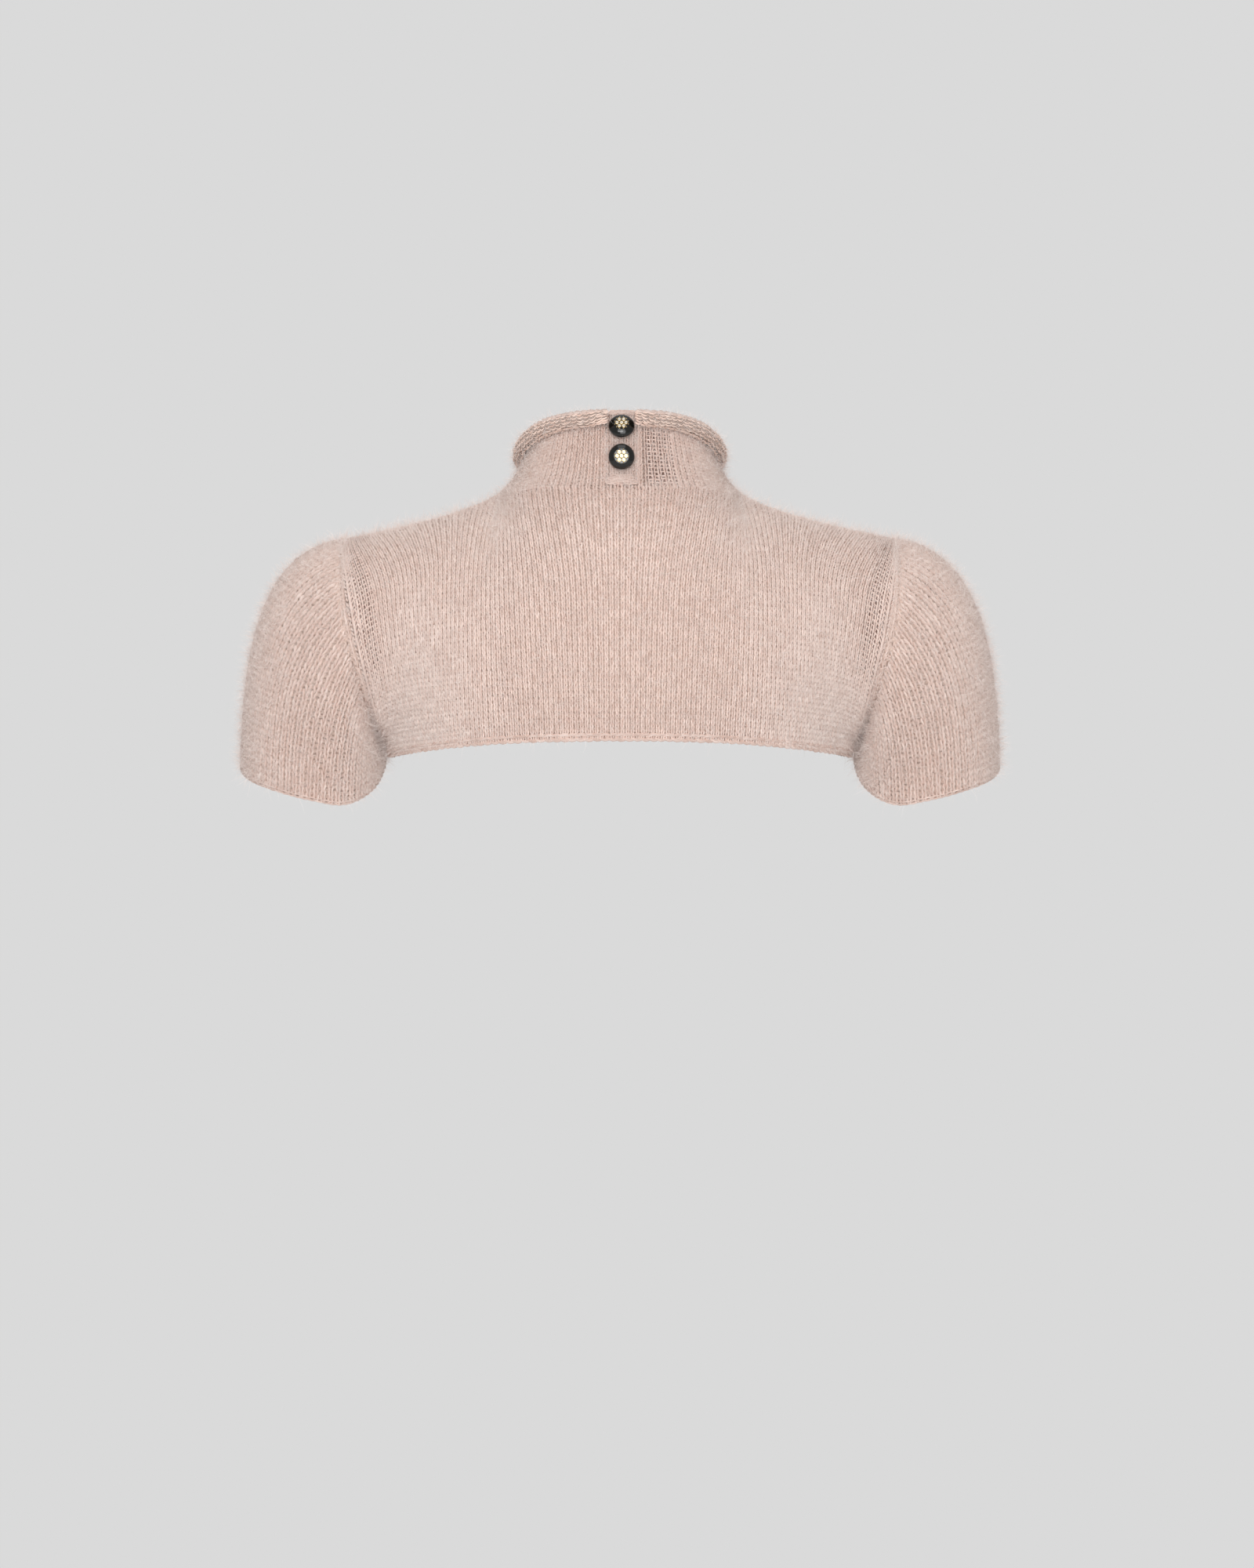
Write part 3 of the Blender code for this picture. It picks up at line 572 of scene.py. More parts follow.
@functools.lru_cache(maxsize=None)
def slit_table() -> tuple[Array, Array, Array]:
    """Levels of the collar and the angles at which it meets the placket, right and left."""
    levels = np.linspace(0.0, 2.0, TABLE_SAMPLES)
    near = np.full_like(levels, SLIT_ANGLE)
    radius = collar_path(near, levels)[..., 0] / np.sin(near)
    edge = PLACKET_HALF_WIDTH + SEAM_GAP
    return levels, np.arcsin((edge + PLACKET_X) / radius), np.arcsin((edge - PLACKET_X) / radius)


def collar_angle(share: Array, level: Array) -> Array:
    """The angle round the neck at a share of the way from the slit's right side to its left."""
    levels, right, left = slit_table()
    start = np.interp(level, levels, right)
    end = 2 * math.pi - np.interp(level, levels, left)
    return start + (end - start) * share


@functools.lru_cache(maxsize=None)
def placket_line() -> tuple[Array, Array]:
    """Heights and depths of the placket's middle line, before it bends over the rim."""
    levels = np.linspace(0.0, 1.0, PLACKET_SAMPLES)
    line = collar_path(np.zeros_like(levels), levels)
    return line[:, 2], line[:, 1]


def placket_point(x: Array, z: Array) -> Array:
    """A point of the placket's outside."""
    heights, depths = placket_line()
    over = np.clip(z - PLACKET_BEND_Z, 0.0, None)
    y = np.interp(z, heights, depths) + PLACKET_BEND * over**2 - PLACKET_RISE
    bulge = NECK_HALF_WIDTH - np.sqrt(NECK_HALF_WIDTH**2 - (x + PLACKET_X) ** 2)
    return vectors(x + PLACKET_X, y + bulge, z)


class Spot(NamedTuple):
    """Places on a skin with the directions there."""

    point: Array
    across: Array
    along: Array
    normal: Array


class Skin:
    """A smooth surface with two parameters: u across the knitted columns and v along them."""

    limits: tuple[tuple[float, float], tuple[float, float]] = ((0.0, 1.0), (0.0, 1.0))
    facing: float = 1.0

    def at(self, u: Array, v: Array) -> Array:
        """Points of the surface."""
        raise NotImplementedError

    def spot(self, u: Array, v: Array) -> Spot:
        """Points of the surface with their directions across, along and outward.

        Args:
            u: places across the columns.
            v: places along them, of the same shape.

        Returns:
            The points and three unit directions for each.
        """
        (u_least, u_most), (v_least, v_most) = self.limits
        u_low, u_high = np.maximum(u - STEP, u_least), np.minimum(u + STEP, u_most)
        v_low, v_high = np.maximum(v - STEP, v_least), np.minimum(v + STEP, v_most)
        across = unit(self.at(u_high, v) - self.at(u_low, v))
        along = unit(self.at(u, v_high) - self.at(u, v_low))
        normal = unit(np.cross(across, along)) * self.facing
        return Spot(self.at(u, v), across, along, normal)


class BodySkin(Skin):
    """The outside of the back or front panel: u is the place across, v the way up its curve."""

    limits = ((-1.0, 1.0), (0.0, 1.0))

    # At the shoulder, columns crowd together past this share of the way out, so the panel's
    # directions are read at it instead. That sets in between the two shares of the way up
    EVEN_PLACE = 0.975
    EVEN_HEIGHTS = (0.6, 0.8)

    def __init__(self, panel: Panel) -> None:
        self.panel = panel
        self.facing = -panel.sign

    def at(self, u: Array, v: Array) -> Array:
        """Points of the panel's outside."""
        return panel_skin(self.panel, u, v)

    def spot(self, u: Array, v: Array) -> Spot:
        """Points of the panel, with directions from a little inside its edges at the shoulder."""
        most = 1.0 - (1.0 - self.EVEN_PLACE) * smooth_step(*self.EVEN_HEIGHTS, v)
        inside = super().spot(np.clip(u, -most, most), v)
        return inside._replace(point=self.at(u, v))


class SleeveSkin(Skin):
    """The outside of a sleeve: u is the angle round it, v runs from cuff (0) to seam (1)."""

    # The angle may run on past a turn at either end
    limits = ((-7.0, 14.0), (0.0, 1.0))

    def __init__(self, side: Side) -> None:
        self.side = side
        self.facing = -float(side.value)

    def at(self, u: Array, v: Array) -> Array:
        """Points of the sleeve's outside."""
        point = sleeve_point(u, 1.0 - v)
        point[..., 0] *= self.side.value
        return point


class CollarSkin(Skin):
    """The stand's outside and the inside of its roll: u is a share round it, v the level."""

    # The knit starts a little under the neck line
    limits = ((0.0, 1.0), (-0.06, 2.0))

    def at(self, u: Array, v: Array) -> Array:
        """Points of the cloth's outer face."""
        return collar_path(collar_angle(u, v), v)


class RollSkin(Skin):
    """The face of the roll that shows: u is a share round the neck, v the share of the roll."""

    facing = -1.0

    # The knit runs a little past the slit's edges and past the solid's free edge
    limits = ((-0.004, 1.004), (0.0, 1.22))

    def at(self, u: Array, v: Array) -> Array:
        """Points of the roll's outer face."""
        angle = collar_angle(u, 1.0 + v)
        return collar_ring(angle, v, roll_radius(angle))


class PlacketSkin(Skin):
    """The placket's outside: u is across it and v is the height, both in millimetres."""

    limits = ((-PLACKET_REACH, PLACKET_REACH), (0.0, PLACKET_TOP_Z + PLACKET_OVER))

    def at(self, u: Array, v: Array) -> Array:
        """Points of the placket's outside."""
        return placket_point(u, v)


# Meshes

STITCH_MAP = "stitch_map"

# How many columns the stitch map counts once round a tube
STITCH_TURN = 60.0

# How much darker a strand's edges and how much lighter its crest are than its own tone: painted
# shade where it turns down at its sides, and a painted highlight along its top
PAINTED_EDGE_SHADE = 0.38
PAINTED_CREST_HIGHLIGHT = 0.16


class Weave(NamedTuple):
    """Vertices in millimetres, faces of three or of four corners, shades and perhaps stitch places."""

    points: Array
    faces: Array
    tone: Array
    stitch: Array | None = None


def join(parts: list[Weave]) -> Weave:
    """One weave from several."""
    start, faces = 0, []
    for part in parts:
        faces.append(part.faces + start)
        start += len(part.points)
    return Weave(
        np.concatenate([part.points for part in parts]),
        np.concatenate(faces),
        np.concatenate([part.tone for part in parts]),
    )


def make_object(name: str, weave: Weave, material: bpy.types.Material) -> bpy.types.Object:
    """A mesh object in metres from a weave.

    Args:
        name: the object's name.
        weave: its vertices, faces and shades.
        material: its only material.

    Returns:
        The object, linked to the scene and riding on the garment.
    """
    mesh = bpy.data.meshes.new(name)
    count, (faces, sides) = len(weave.points), weave.faces.shape
    mesh.vertices.add(count)
    mesh.vertices.foreach_set("co", (weave.points * MM).astype(np.float32).ravel())
    mesh.loops.add(faces * sides)
    mesh.loops.foreach_set("vertex_index", weave.faces.astype(np.int32).ravel())
    mesh.polygons.add(faces)
    mesh.polygons.foreach_set("loop_start", np.arange(0, faces * sides, sides, dtype=np.int32))
    mesh.polygons.foreach_set("use_smooth", np.ones(faces, dtype=bool))
    tone = mesh.attributes.new("tone", "FLOAT", "POINT")
    tone.data.foreach_set("value", weave.tone.astype(np.float32))
    if weave.stitch is not None:
        corner = weave.stitch[weave.faces]
        first = corner[..., 0]
        wraps = (np.ptp(first, axis=1) > STITCH_TURN / 2)[:, None] & (first < STITCH_TURN / 2)
        corner[..., 0] = first + STITCH_TURN * wraps
        layer = mesh.uv_layers.new(name=STITCH_MAP)
        layer.data.foreach_set("uv", corner.astype(np.float32).ravel())
    mesh.update(calc_edges=True)
    mesh.materials.append(material)
    obj = bpy.data.objects.new(name, mesh)
    bpy.context.scene.collection.objects.link(obj)
    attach(obj, "root")
    LOG.info("%s: %d triangles", name, faces * (sides - 2))
    return obj


def grid_faces(rows: int, columns: int, closed: bool) -> Array:
    """Four-cornered faces of a grid of points; closed joins the last column to the first."""
    row, column = np.meshgrid(np.arange(rows - 1), np.arange(columns - (not closed)), indexing="ij")
    after = (column + 1) % columns
    a, b = row * columns + column, row * columns + after
    return np.stack([a, b, b + columns, a + columns], axis=-1).reshape(-1, 4)


def cloth(
    skin: Skin, u: Array, v: Array, depth: Array, openness: Array, stitch: Array, closed: bool
) -> Weave:
    """A thin closed base cloth under a skin.

    Args:
        skin: the surface that it follows.
        u: places across, a grid.
        v: places along, a grid of the same shape.
        depth: how far its outer face lies under the skin at each place.
        openness: the cloth's tone at each place, from 0 to 1: painted shade where the knit is open, and
            painted light near seams and on the rolled edge.
        stitch: the column and row number at each place, with a last axis of two.
        closed: whether the last column joins the first.

    Returns:
        The cloth as a weave.
    """
    spot = skin.spot(u, v)
    rows, columns = u.shape
    outer = spot.point - spot.normal * depth[..., None]
    inner = outer - spot.normal * CLOTH_THICKNESS
    count, last = rows * columns, (rows - 1) * columns
    grid = grid_faces(rows, columns, closed)
    spans = np.arange(columns if closed else columns - 1)
    after = (spans + 1) % columns
    faces = [
        grid,
        grid[:, ::-1] + count,
        np.stack([spans, spans + count, after + count, after], axis=-1),
        np.stack([last + after, last + after + count, last + spans + count, last + spans], axis=-1),
    ]
    if not closed:
        left = np.arange(rows - 1) * columns
        right = left + columns - 1
        faces.append(np.stack([left + columns, left + columns + count, left + count, left], axis=-1))
        faces.append(np.stack([right, right + count, right + columns + count, right + columns], axis=-1))
    faces = np.concatenate(faces)
    if skin.facing < 0:
        faces = faces[:, ::-1]
    points = np.concatenate([outer.reshape(-1, 3), inner.reshape(-1, 3)])
    tone = np.concatenate([openness.ravel(), np.minimum(openness, GROUND_TONE).ravel()])
    stitch = stitch.reshape(-1, 2)
    return Weave(points, faces, tone, np.concatenate([stitch, stitch]))


def strands(centres: Array, normals: Array, half: Array, top: Array, floor: float, tone: Array) -> Weave:
    """Raised yarn strands, each an arch along a line of points.

    Args:
        centres: points of every strand, shaped (strands, points, 3).
        normals: the outward direction at each point, of the same shape.
        half: half the strand's width at each point.
        top: how high the strand stands over the skin at each point.
        floor: how far its two edges lie over the skin, below 0 where they are sunk.
        tone: one shade for each strand, or one for each of its points.

    Returns:
        The strands as one weave.
    """
    count, points, _ = centres.shape
    tangent = unit(np.gradient(centres, axis=1))
    side = unit(np.cross(tangent, normals))
    ring = np.stack(
        [
            centres - side * half[..., None] + normals * floor,
            centres + normals * top[..., None],
            centres + side * half[..., None] + normals * floor,
        ],
        axis=2,
    )
    one = []
    for k in range(points - 1):
        a, b = 3 * k, 3 * (k + 1)
        one += [(a, a + 1, b + 1, b), (a + 1, a + 2, b + 2, b + 1)]
    faces = np.array(one)[None] + (np.arange(count) * points * 3)[:, None, None]
    # Painted shade on both edges of every strand and a painted highlight on its crest
    shade = tone.reshape(count, -1)[..., None] + np.array([-PAINTED_EDGE_SHADE, PAINTED_CREST_HIGHLIGHT, -PAINTED_EDGE_SHADE])
    shade = np.clip(np.broadcast_to(shade, (count, points, 3)), 0.0, 1.0)
    return Weave(ring.reshape(-1, 3), faces.reshape(-1, 4), shade.reshape(-1))


# Knitting


@dataclass(frozen=True)
class Gauge:
    """Sizes of one stitch.

    Attributes:
        spread: how far the two legs end from the stitch's middle, as a share of its width.
        start: how far from the middle they start.
        half: half a leg's width as a share of the stitch's width.
        relief: how high the legs stand over their floor, in millimetres.
        floor: the level that the relief counts from, in millimetres over the skin.
        tone: the yarn's middle shade.
    """

    spread: float = 0.275
    start: float = 0.07
    half: float = 0.16
    relief: float = 1.5
    floor: float = -1.15
    tone: float = 0.6


@dataclass(frozen=True)
class Lattice:
    """Row and column boundaries of a knitted area, as places on a skin.

    Attributes:
        skin: the surface.
        u: places across, shaped (columns + 1, rows + 1).
        v: places along, of the same shape.
        alive: which cells hold a stitch, shaped (columns, rows).
    """

    skin: Skin
    u: Array
    v: Array
    alive: Array

    def read(self, column: Array, row: Array) -> tuple[Array, Array]:
        """Places on the skin at any column and row numbers, between and beyond the boundaries."""
        columns, rows = self.u.shape
        k = np.clip(np.floor(column).astype(int), 0, columns - 2)
        j = np.clip(np.floor(row).astype(int), 0, rows - 2)
        a, b = column - k, row - j
        (u_least, u_most), (v_least, v_most) = self.skin.limits
        out = []
        for table, least, most in ((self.u, u_least, u_most), (self.v, v_least, v_most)):
            low = table[k, j] * (1 - a) + table[k + 1, j] * a
            high = table[k, j + 1] * (1 - a) + table[k + 1, j + 1] * a
            out.append(np.clip(low * (1 - b) + high * b, least, most))
        return out[0], out[1]

    def spot(self, column: Array, row: Array) -> Spot:
        """Points and directions at any column and row numbers."""
        return self.skin.spot(*self.read(column, row))


def cut_lines(length: Array, at: Array, u: Array, v: Array) -> tuple[Array, Array]:
    """Places along lines at given lengths from their starts.

    Args:
        length: how far along its line each sample lies, shaped (lines, samples).
        at: the lengths at which the lines are cut, shaped (lines, cuts).
        u: the samples' places across, shaped like length.
        v: their places along, of the same shape.

    Returns:
        The places u and v at the cuts, each shaped (lines, cuts).
    """
    cut_u = np.array([np.interp(*line) for line in zip(at, length, u)])
    cut_v = np.array([np.interp(*line) for line in zip(at, length, v)])
    return cut_u, cut_v


def rows_by_length(skin: Skin, u: Array, v: Array, rows: int) -> tuple[Array, Array]:
    """Cut lines along a skin into equal lengths.

    Args:
        skin: the surface.
        u: places across, shaped (lines, samples).
        v: places along, of the same shape.
        rows: how many lengths each line is cut into.

    Returns:
        The places u and v at the cuts, shaped (lines, rows + 1).
    """
    length = lengths_along(skin.at(u, v))
    return cut_lines(length, length[:, -1:] * np.linspace(0.0, 1.0, rows + 1), u, v)


def rows_by_pitch(skin: Skin, u: Array, v: Array, pitch: float) -> tuple[Array, Array, Array]:
    """Cut lines along a skin into rows of one height, counted from their start.

    Args:
        skin: the surface.
        u: places across, shaped (lines, samples).
        v: places along, of the same shape.
        pitch: the row height.

    Returns:
        The places u and v at the cuts, and how many rows fit on each line.
    """
    length = lengths_along(skin.at(u, v))
    most = int(np.ceil(length[:, -1].max() / pitch))
    at = np.broadcast_to(np.arange(most + 1) * pitch, (len(u), most + 1))
    return *cut_lines(length, at, u, v), length[:, -1] / pitch


@dataclass(frozen=True)
class Chain:
    """Sizes of a chain of slanted links.

    Attributes:
        link: the length of one link.
        half_width: half the chain's width.
        lift: how high it stands over the skin.
        shade: the links' middle shade.
    """

    link: float
    half_width: float
    lift: float
    shade: float = 0.32


# Chains at the hem, the cuffs and the rim, along the armhole seams and across the placket
HEM_CHAIN = Chain(4.7, 2.7, 1.3, 0.2)
CUFF_CHAIN = Chain(4.4, 1.4, 0.6)
RIM_CHAIN = Chain(4.2, 2.3, 0.9)
SEAM_CHAIN = Chain(3.4, 1.7, -0.1)
BAR_CHAIN = Chain(4.2, 1.2, 0.2)


class Knitter:
    """Lays stitches on lattices, with small irregularities from one seeded generator.

    Each kind of strand has its form at every one of its points. Places are shares of a stitch or
    a link. Widths and heights of legs and links are shares of the gauge's or the chain's, those
    of ties are millimetres, and a bump's height is a share of its relief. A name that ends in
    SPREAD holds a standard deviation.
    """

    # Legs: how far up the row, how far to the side, width, height and painted light (painted shade at the
    # foot, where a leg goes under the stitch below, and lighter up its middle), and how far their edges
    # sink under the gauge's floor
    LEG_ALONG = np.array([-0.3, 0.18, 0.66, 1.12])
    LEG_ACROSS = np.array([0.0, 0.45, 0.9, 1.0])
    LEG_HALF = np.array([0.4, 0.95, 1.0, 0.45])
    LEG_TOP = np.array([0.35, 0.94, 1.0, 0.5])
    LEG_PAINTED_LIGHT = np.array([-0.18, 0.02, 0.1, 0.0])
    LEG_SINK = 0.2

    # Legs by the stitch's width: its limits, the width up to which stitches crowd, how much wider
    # a free stitch is, and the shares of the height's and the painted light's change that crowded
    # ones keep. Yarn is thinner by the last value where the knit is fully open
    STITCH_WIDTHS = (1.6, 5.4)
    CROWDED_WIDTH = 2.2
    FREE_WIDTH = 1.1
    CROWDED_TOP = 0.35
    CROWDED_PAINTED_LIGHT = 0.3
    OPEN_THINNING = 0.3

    # How much stitches drift from their place, and sideways as a share of along, how much each
    # leg wobbles sideways, and how much legs differ in width, height and tone
    DRIFT_SPREAD = 0.03
    SIDE_DRIFT = 0.8
    WOBBLE_SPREAD = 0.02
    LEG_SIZE_SPREAD = 0.09
    LEG_TOP_SPREAD = 0.1
    LEG_TONE_SPREAD = 0.13

    # Ties: from which openness there are any, their place in the row, their form and differences
    TIED_OPENNESS = 0.25
    TIE_ROW = 0.96
    TIE_ACROSS = np.array([-0.36, 0.0, 0.36])
    TIE_HALF = np.array([0.5, 0.42, 0.5])
    TIE_TOP = np.array([-0.4, -0.15, -0.4])
    TIE_FLOOR = -1.3
    TIE_TONE = 0.5
    TIE_DRIFT_SPREAD = 0.05
    TIE_SIZE_SPREAD = 0.15
    TIE_TONE_SPREAD = 0.12

    # Bumps of the reverse side
    BUMP_ACROSS = np.array([-0.08, 0.3, 0.7, 1.08])
    BUMP_ALONG = np.array([0.2, 0.62, 0.62, 0.2])
    BUMP_HALF = np.array([0.35, 0.6, 0.6, 0.35])
    BUMP_TOP = np.array([0.2, 1.0, 1.0, 0.2])
    BUMP_SINK = 0.3
    BUMP_FLOOR = -0.6
    BUMP_TONE = 0.72
    BUMP_ACROSS_SPREAD = 0.1
    BUMP_ALONG_SPREAD = 0.12
    BUMP_SIZE_SPREAD = 0.12
    BUMP_TONE_SPREAD = 0.2

    # Links of a chain, whose strands are a share of its half width thick to either side
    LINK_ALONG = np.array([-0.15, 0.2, 0.6, 1.0, 1.3])
    LINK_ACROSS = np.array([0.1, 0.42, 0.62, 0.55, 0.2])
    LINK_HALF = np.array([0.4, 0.9, 1.0, 0.9, 0.4])
    LINK_TOP = np.array([-0.5, 0.6, 1.0, 0.7, -0.5])
    LINK_SHARE = 0.42
    LINK_FLOOR = -0.9
    LINK_DRIFT_SPREAD = 0.2
    LINK_SIZE_SPREAD = 0.1
    LINK_TONE_SPREAD = 0.16

    def __init__(self, seed: int) -> None:
        self.rng = np.random.default_rng(seed)

    def legs(self, lattice: Lattice, gauge: Gauge, openness: Array, shade: Array | None = None) -> Weave:
        """The two legs of every stitch of a lattice.

        Args:
            lattice: where the stitches lie.
            gauge: their sizes.
            openness: how thin the yarn is in each cell, from 0 to 1, shaped like alive.
            shade: painted shade added to the yarn's tone in each cell, of the same shape.

        Returns:
            The legs as one weave.
        """
        column, row = np.nonzero(lattice.alive)
        count = len(column)
        spread = gauge.start + (gauge.spread - gauge.start) * self.LEG_ACROSS
        middle = lattice.spot(column + 0.5, row + 0.5)
        left_edge = lattice.spot(column.astype(float), row + 0.5).point
        right_edge = lattice.spot(column + 1.0, row + 0.5).point
        width = np.clip(np.linalg.norm(right_edge - left_edge, axis=-1), *self.STITCH_WIDTHS)
        calm = np.clip((width - self.CROWDED_WIDTH) / self.FREE_WIDTH, 0.0, 1.0)[:, None]
        high = 1 - (1 - self.LEG_TOP) * (self.CROWDED_TOP + (1 - self.CROWDED_TOP) * calm)
        # Painted light and shade along each leg: darker at its foot, under the stitch below, lighter up its
        # middle
        light = self.LEG_PAINTED_LIGHT * (self.CROWDED_PAINTED_LIGHT + (1 - self.CROWDED_PAINTED_LIGHT) * calm)
        usual_tone = gauge.tone + (0.0 if shade is None else shade[column, row][:, None])
        drift = self.rng.normal(0.0, self.DRIFT_SPREAD, (2, count))
        thin = 1.0 - self.OPEN_THINNING * openness[column, row]
        parts = []
        for side in (-1, 1):
            wobble = self.rng.normal(0.0, self.WOBBLE_SPREAD, (count, 1))
            k = column[:, None] + 0.5 + drift[0][:, None] * self.SIDE_DRIFT + side * spread + wobble
            j = row[:, None] + self.LEG_ALONG + drift[1][:, None]
            centres = lattice.skin.at(*lattice.read(k, j))
            size = self.rng.normal(1.0, self.LEG_SIZE_SPREAD, (count, 1)) * thin[:, None]
            half = self.LEG_HALF * gauge.half * width[:, None] * size
            lift = gauge.relief * high * self.rng.normal(1.0, self.LEG_TOP_SPREAD, (count, 1))
            normals = np.broadcast_to(middle.normal[:, None], centres.shape)
            tone = usual_tone + self.rng.normal(0.0, self.LEG_TONE_SPREAD, (count, 1)) + light
            floor = gauge.floor - self.LEG_SINK
            parts.append(strands(centres, normals, half, gauge.floor + lift, floor, tone))
        return join(parts)

    def ties(self, lattice: Lattice, openness: Array) -> Weave:
        """The short yarns that cross from column to column where the knit is open."""
        column, row = np.nonzero(lattice.alive & (openness > self.TIED_OPENNESS))
        count = len(column)
        drift = self.rng.normal(0.0, self.TIE_DRIFT_SPREAD, (count, 1))
        k = column[:, None] + 1 + self.TIE_ACROSS
        centres = lattice.skin.at(*lattice.read(k, row[:, None] + self.TIE_ROW + drift))
        middle = lattice.spot(column + 1.0, row + self.TIE_ROW)
        normals = np.broadcast_to(middle.normal[:, None], centres.shape)
        size = self.rng.normal(1.0, self.TIE_SIZE_SPREAD, (count, 1))
        tone = np.clip(self.rng.normal(self.TIE_TONE, self.TIE_TONE_SPREAD, count), 0, 1)
        return strands(centres, normals, self.TIE_HALF * size, self.TIE_TOP * size, self.TIE_FLOOR, tone)

    def bumps(self, lattice: Lattice, relief: float) -> Weave:
        """The short arcs that the reverse side of the knit shows, one for each cell."""
        column, row = np.nonzero(lattice.alive)
        count = len(column)
        middle = lattice.spot(column + 0.5, row + 0.5)
        u, v = lattice.read(
            column[:, None] + self.BUMP_ACROSS + self.rng.normal(0, self.BUMP_ACROSS_SPREAD, (count, 1)),
            row[:, None] + self.BUMP_ALONG + self.rng.normal(0, self.BUMP_ALONG_SPREAD, (count, 1)),
        )
        centres = lattice.skin.at(u, v)
        normals = np.broadcast_to(middle.normal[:, None], centres.shape)
        size = self.rng.normal(1.0, self.BUMP_SIZE_SPREAD, (count, 1))
        top = relief * self.BUMP_TOP * size - self.BUMP_SINK
        tone = self.rng.normal(self.BUMP_TONE, self.BUMP_TONE_SPREAD, count)
        return strands(centres, normals, self.BUMP_HALF * size, top, self.BUMP_FLOOR, tone)

    def chain(self, edge: Spot, chain: Chain) -> Weave:
        """A chain of slanted links along an edge.

        Args:
            edge: points of the edge with directions along it (across) and into the cloth (along).
            chain: its sizes.

        Returns:
            The chain as a weave.
        """
        length = lengths_along(edge.point)
        count = max(2, int(round(length[-1] / chain.link)))
        pitch = length[-1] / count

        def at(place: Array, values: Array) -> Array:
            """The edge's values at lengths from its start."""
            return np.stack([np.interp(place, length, part) for part in values.T], axis=-1)

        start = np.arange(count)[:, None] * pitch
        half = self.LINK_HALF * chain.half_width * self.LINK_SHARE
        parts = []
        for side in (-1, 1):
            drift = self.rng.normal(0, self.LINK_DRIFT_SPREAD, (count, 1))
            place = np.clip(start + self.LINK_ALONG * pitch + drift, 0, length[-1])
            away = (side * self.LINK_ACROSS * chain.half_width)[None, :, None]
            centres = at(place, edge.point) + unit(at(place, edge.along)) * away
            normals = unit(at(place, edge.normal))
            size = self.rng.normal(1.0, self.LINK_SIZE_SPREAD, (count, 1))
            tone = self.rng.normal(chain.shade, self.LINK_TONE_SPREAD, count)
            top = self.LINK_TOP * chain.lift * size
            parts.append(strands(centres, normals, half * size, top, self.LINK_FLOOR, tone))
        return join(parts)


@dataclass(frozen=True)
class Hair:
    """Sizes of the loose fibres on an area.

    Attributes:
        count: how many there are.
        length: their usual length.
        longest: the farthest that a tip gets from its root.
        stand: how steeply they leave the cloth, from 0 (flat) to 1 (upright).
        half: half a fibre's width at its root.
    """

    count: int
    length: float = 6.6
    longest: float = 11.0
    stand: float = 0.62
    half: float = 0.055


class Fuzz:
    """Grows loose fibres on lattices.

    Each is a ribbon with a pair of points at its root, a pair half way up and one at its tip.
    """

    ALONG = np.array([0.0, 0.5, 1.0])
    TAPER = np.array([1.0, 0.75])
    FACES = np.array([(0, 1, 3), (0, 3, 2), (2, 3, 4)])
    POINTS = 5

    # How deep the roots lie under the surface, and how fibres stand, lean and bend back to it
    ROOT_DEPTH = 0.3
    STAND_SPREAD = 0.25
    LEAST_STAND = 0.06
    UPRIGHT_LOSS = 0.6
    BEND_SPREAD = 0.7
    BEND_BACK = 0.3

    # Their lengths: the shape of the gamma distribution and the shortest
    LENGTH_SHAPE = 3.0
    SHORTEST = 1.5

    def __init__(self, seed: int) -> None:
        self.rng = np.random.default_rng(seed)

    def grow(self, lattice: Lattice, hair: Hair) -> Weave:
        """Thin tapered ribbons that stand off the cloth and bend over.

        Args:
            lattice: where they grow, evenly over its stitches.
            hair: how many there are and how long.

        Returns:
            The fibres as one weave.
        """
        n = hair.count
        cells = np.argwhere(lattice.alive)
        low = lattice.spot(cells[:, 0] + 0.5, cells[:, 1] + 0.0).point
        high = lattice.spot(cells[:, 0] + 0.5, cells[:, 1] + 1.0).point
        left = lattice.spot(cells[:, 0] + 0.0, cells[:, 1] + 0.5).point
        right = lattice.spot(cells[:, 0] + 1.0, cells[:, 1] + 0.5).point
        room = np.linalg.norm(high - low, axis=-1) * np.linalg.norm(right - left, axis=-1)
        pick = self.rng.choice(len(cells), n, p=room / room.sum())
        spot = lattice.spot(*(cells[pick].T + self.rng.random((2, n))))
        turn = self.rng.random(n) * 2 * math.pi
        flat = spot.across * np.cos(turn)[:, None] + spot.along * np.sin(turn)[:, None]
        stand = np.clip(self.rng.normal(hair.stand, self.STAND_SPREAD, n), self.LEAST_STAND, 1.0)[:, None]
        first = unit(spot.normal * stand + flat * (1 - self.UPRIGHT_LOSS * stand))
        bend = self.rng.normal(0.0, self.BEND_SPREAD, (n, 3)) - spot.normal * self.BEND_BACK
        length = self.rng.gamma(self.LENGTH_SHAPE, hair.length / self.LENGTH_SHAPE, n)
        length = np.clip(length, self.SHORTEST, None)[:, None]
        along = self.ALONG[None, :, None]
        run = first[:, None] * along + bend[:, None] * along**2 * 0.5
        far = length * np.linalg.norm(run[:, -1], axis=-1, keepdims=True)
        length = length * np.minimum(1.0, hair.longest / far)
        line = (spot.point - spot.normal * self.ROOT_DEPTH)[:, None] + length[:, None] * run
        tangent = unit(np.gradient(line, axis=1))
        side = unit(np.cross(tangent, self.rng.normal(0.0, 1.0, (n, 1, 3))))
        half = side[:, :2] * (hair.half * self.TAPER[:, None])
        pairs = np.stack([line[:, :2] - half, line[:, :2] + half], axis=2)
        points = np.concatenate([pairs.reshape(n, 4, 3), line[:, 2:]], axis=1)
        faces = self.FACES[None] + (np.arange(n) * self.POINTS)[:, None, None]
        tone = np.repeat(self.rng.random(n), self.POINTS)
        return Weave(points.reshape(-1, 3), faces.reshape(-1, 3), tone)


# Lattices of the garment


# Columns of the body that end on half of the neck line
NECK_WALES = 26

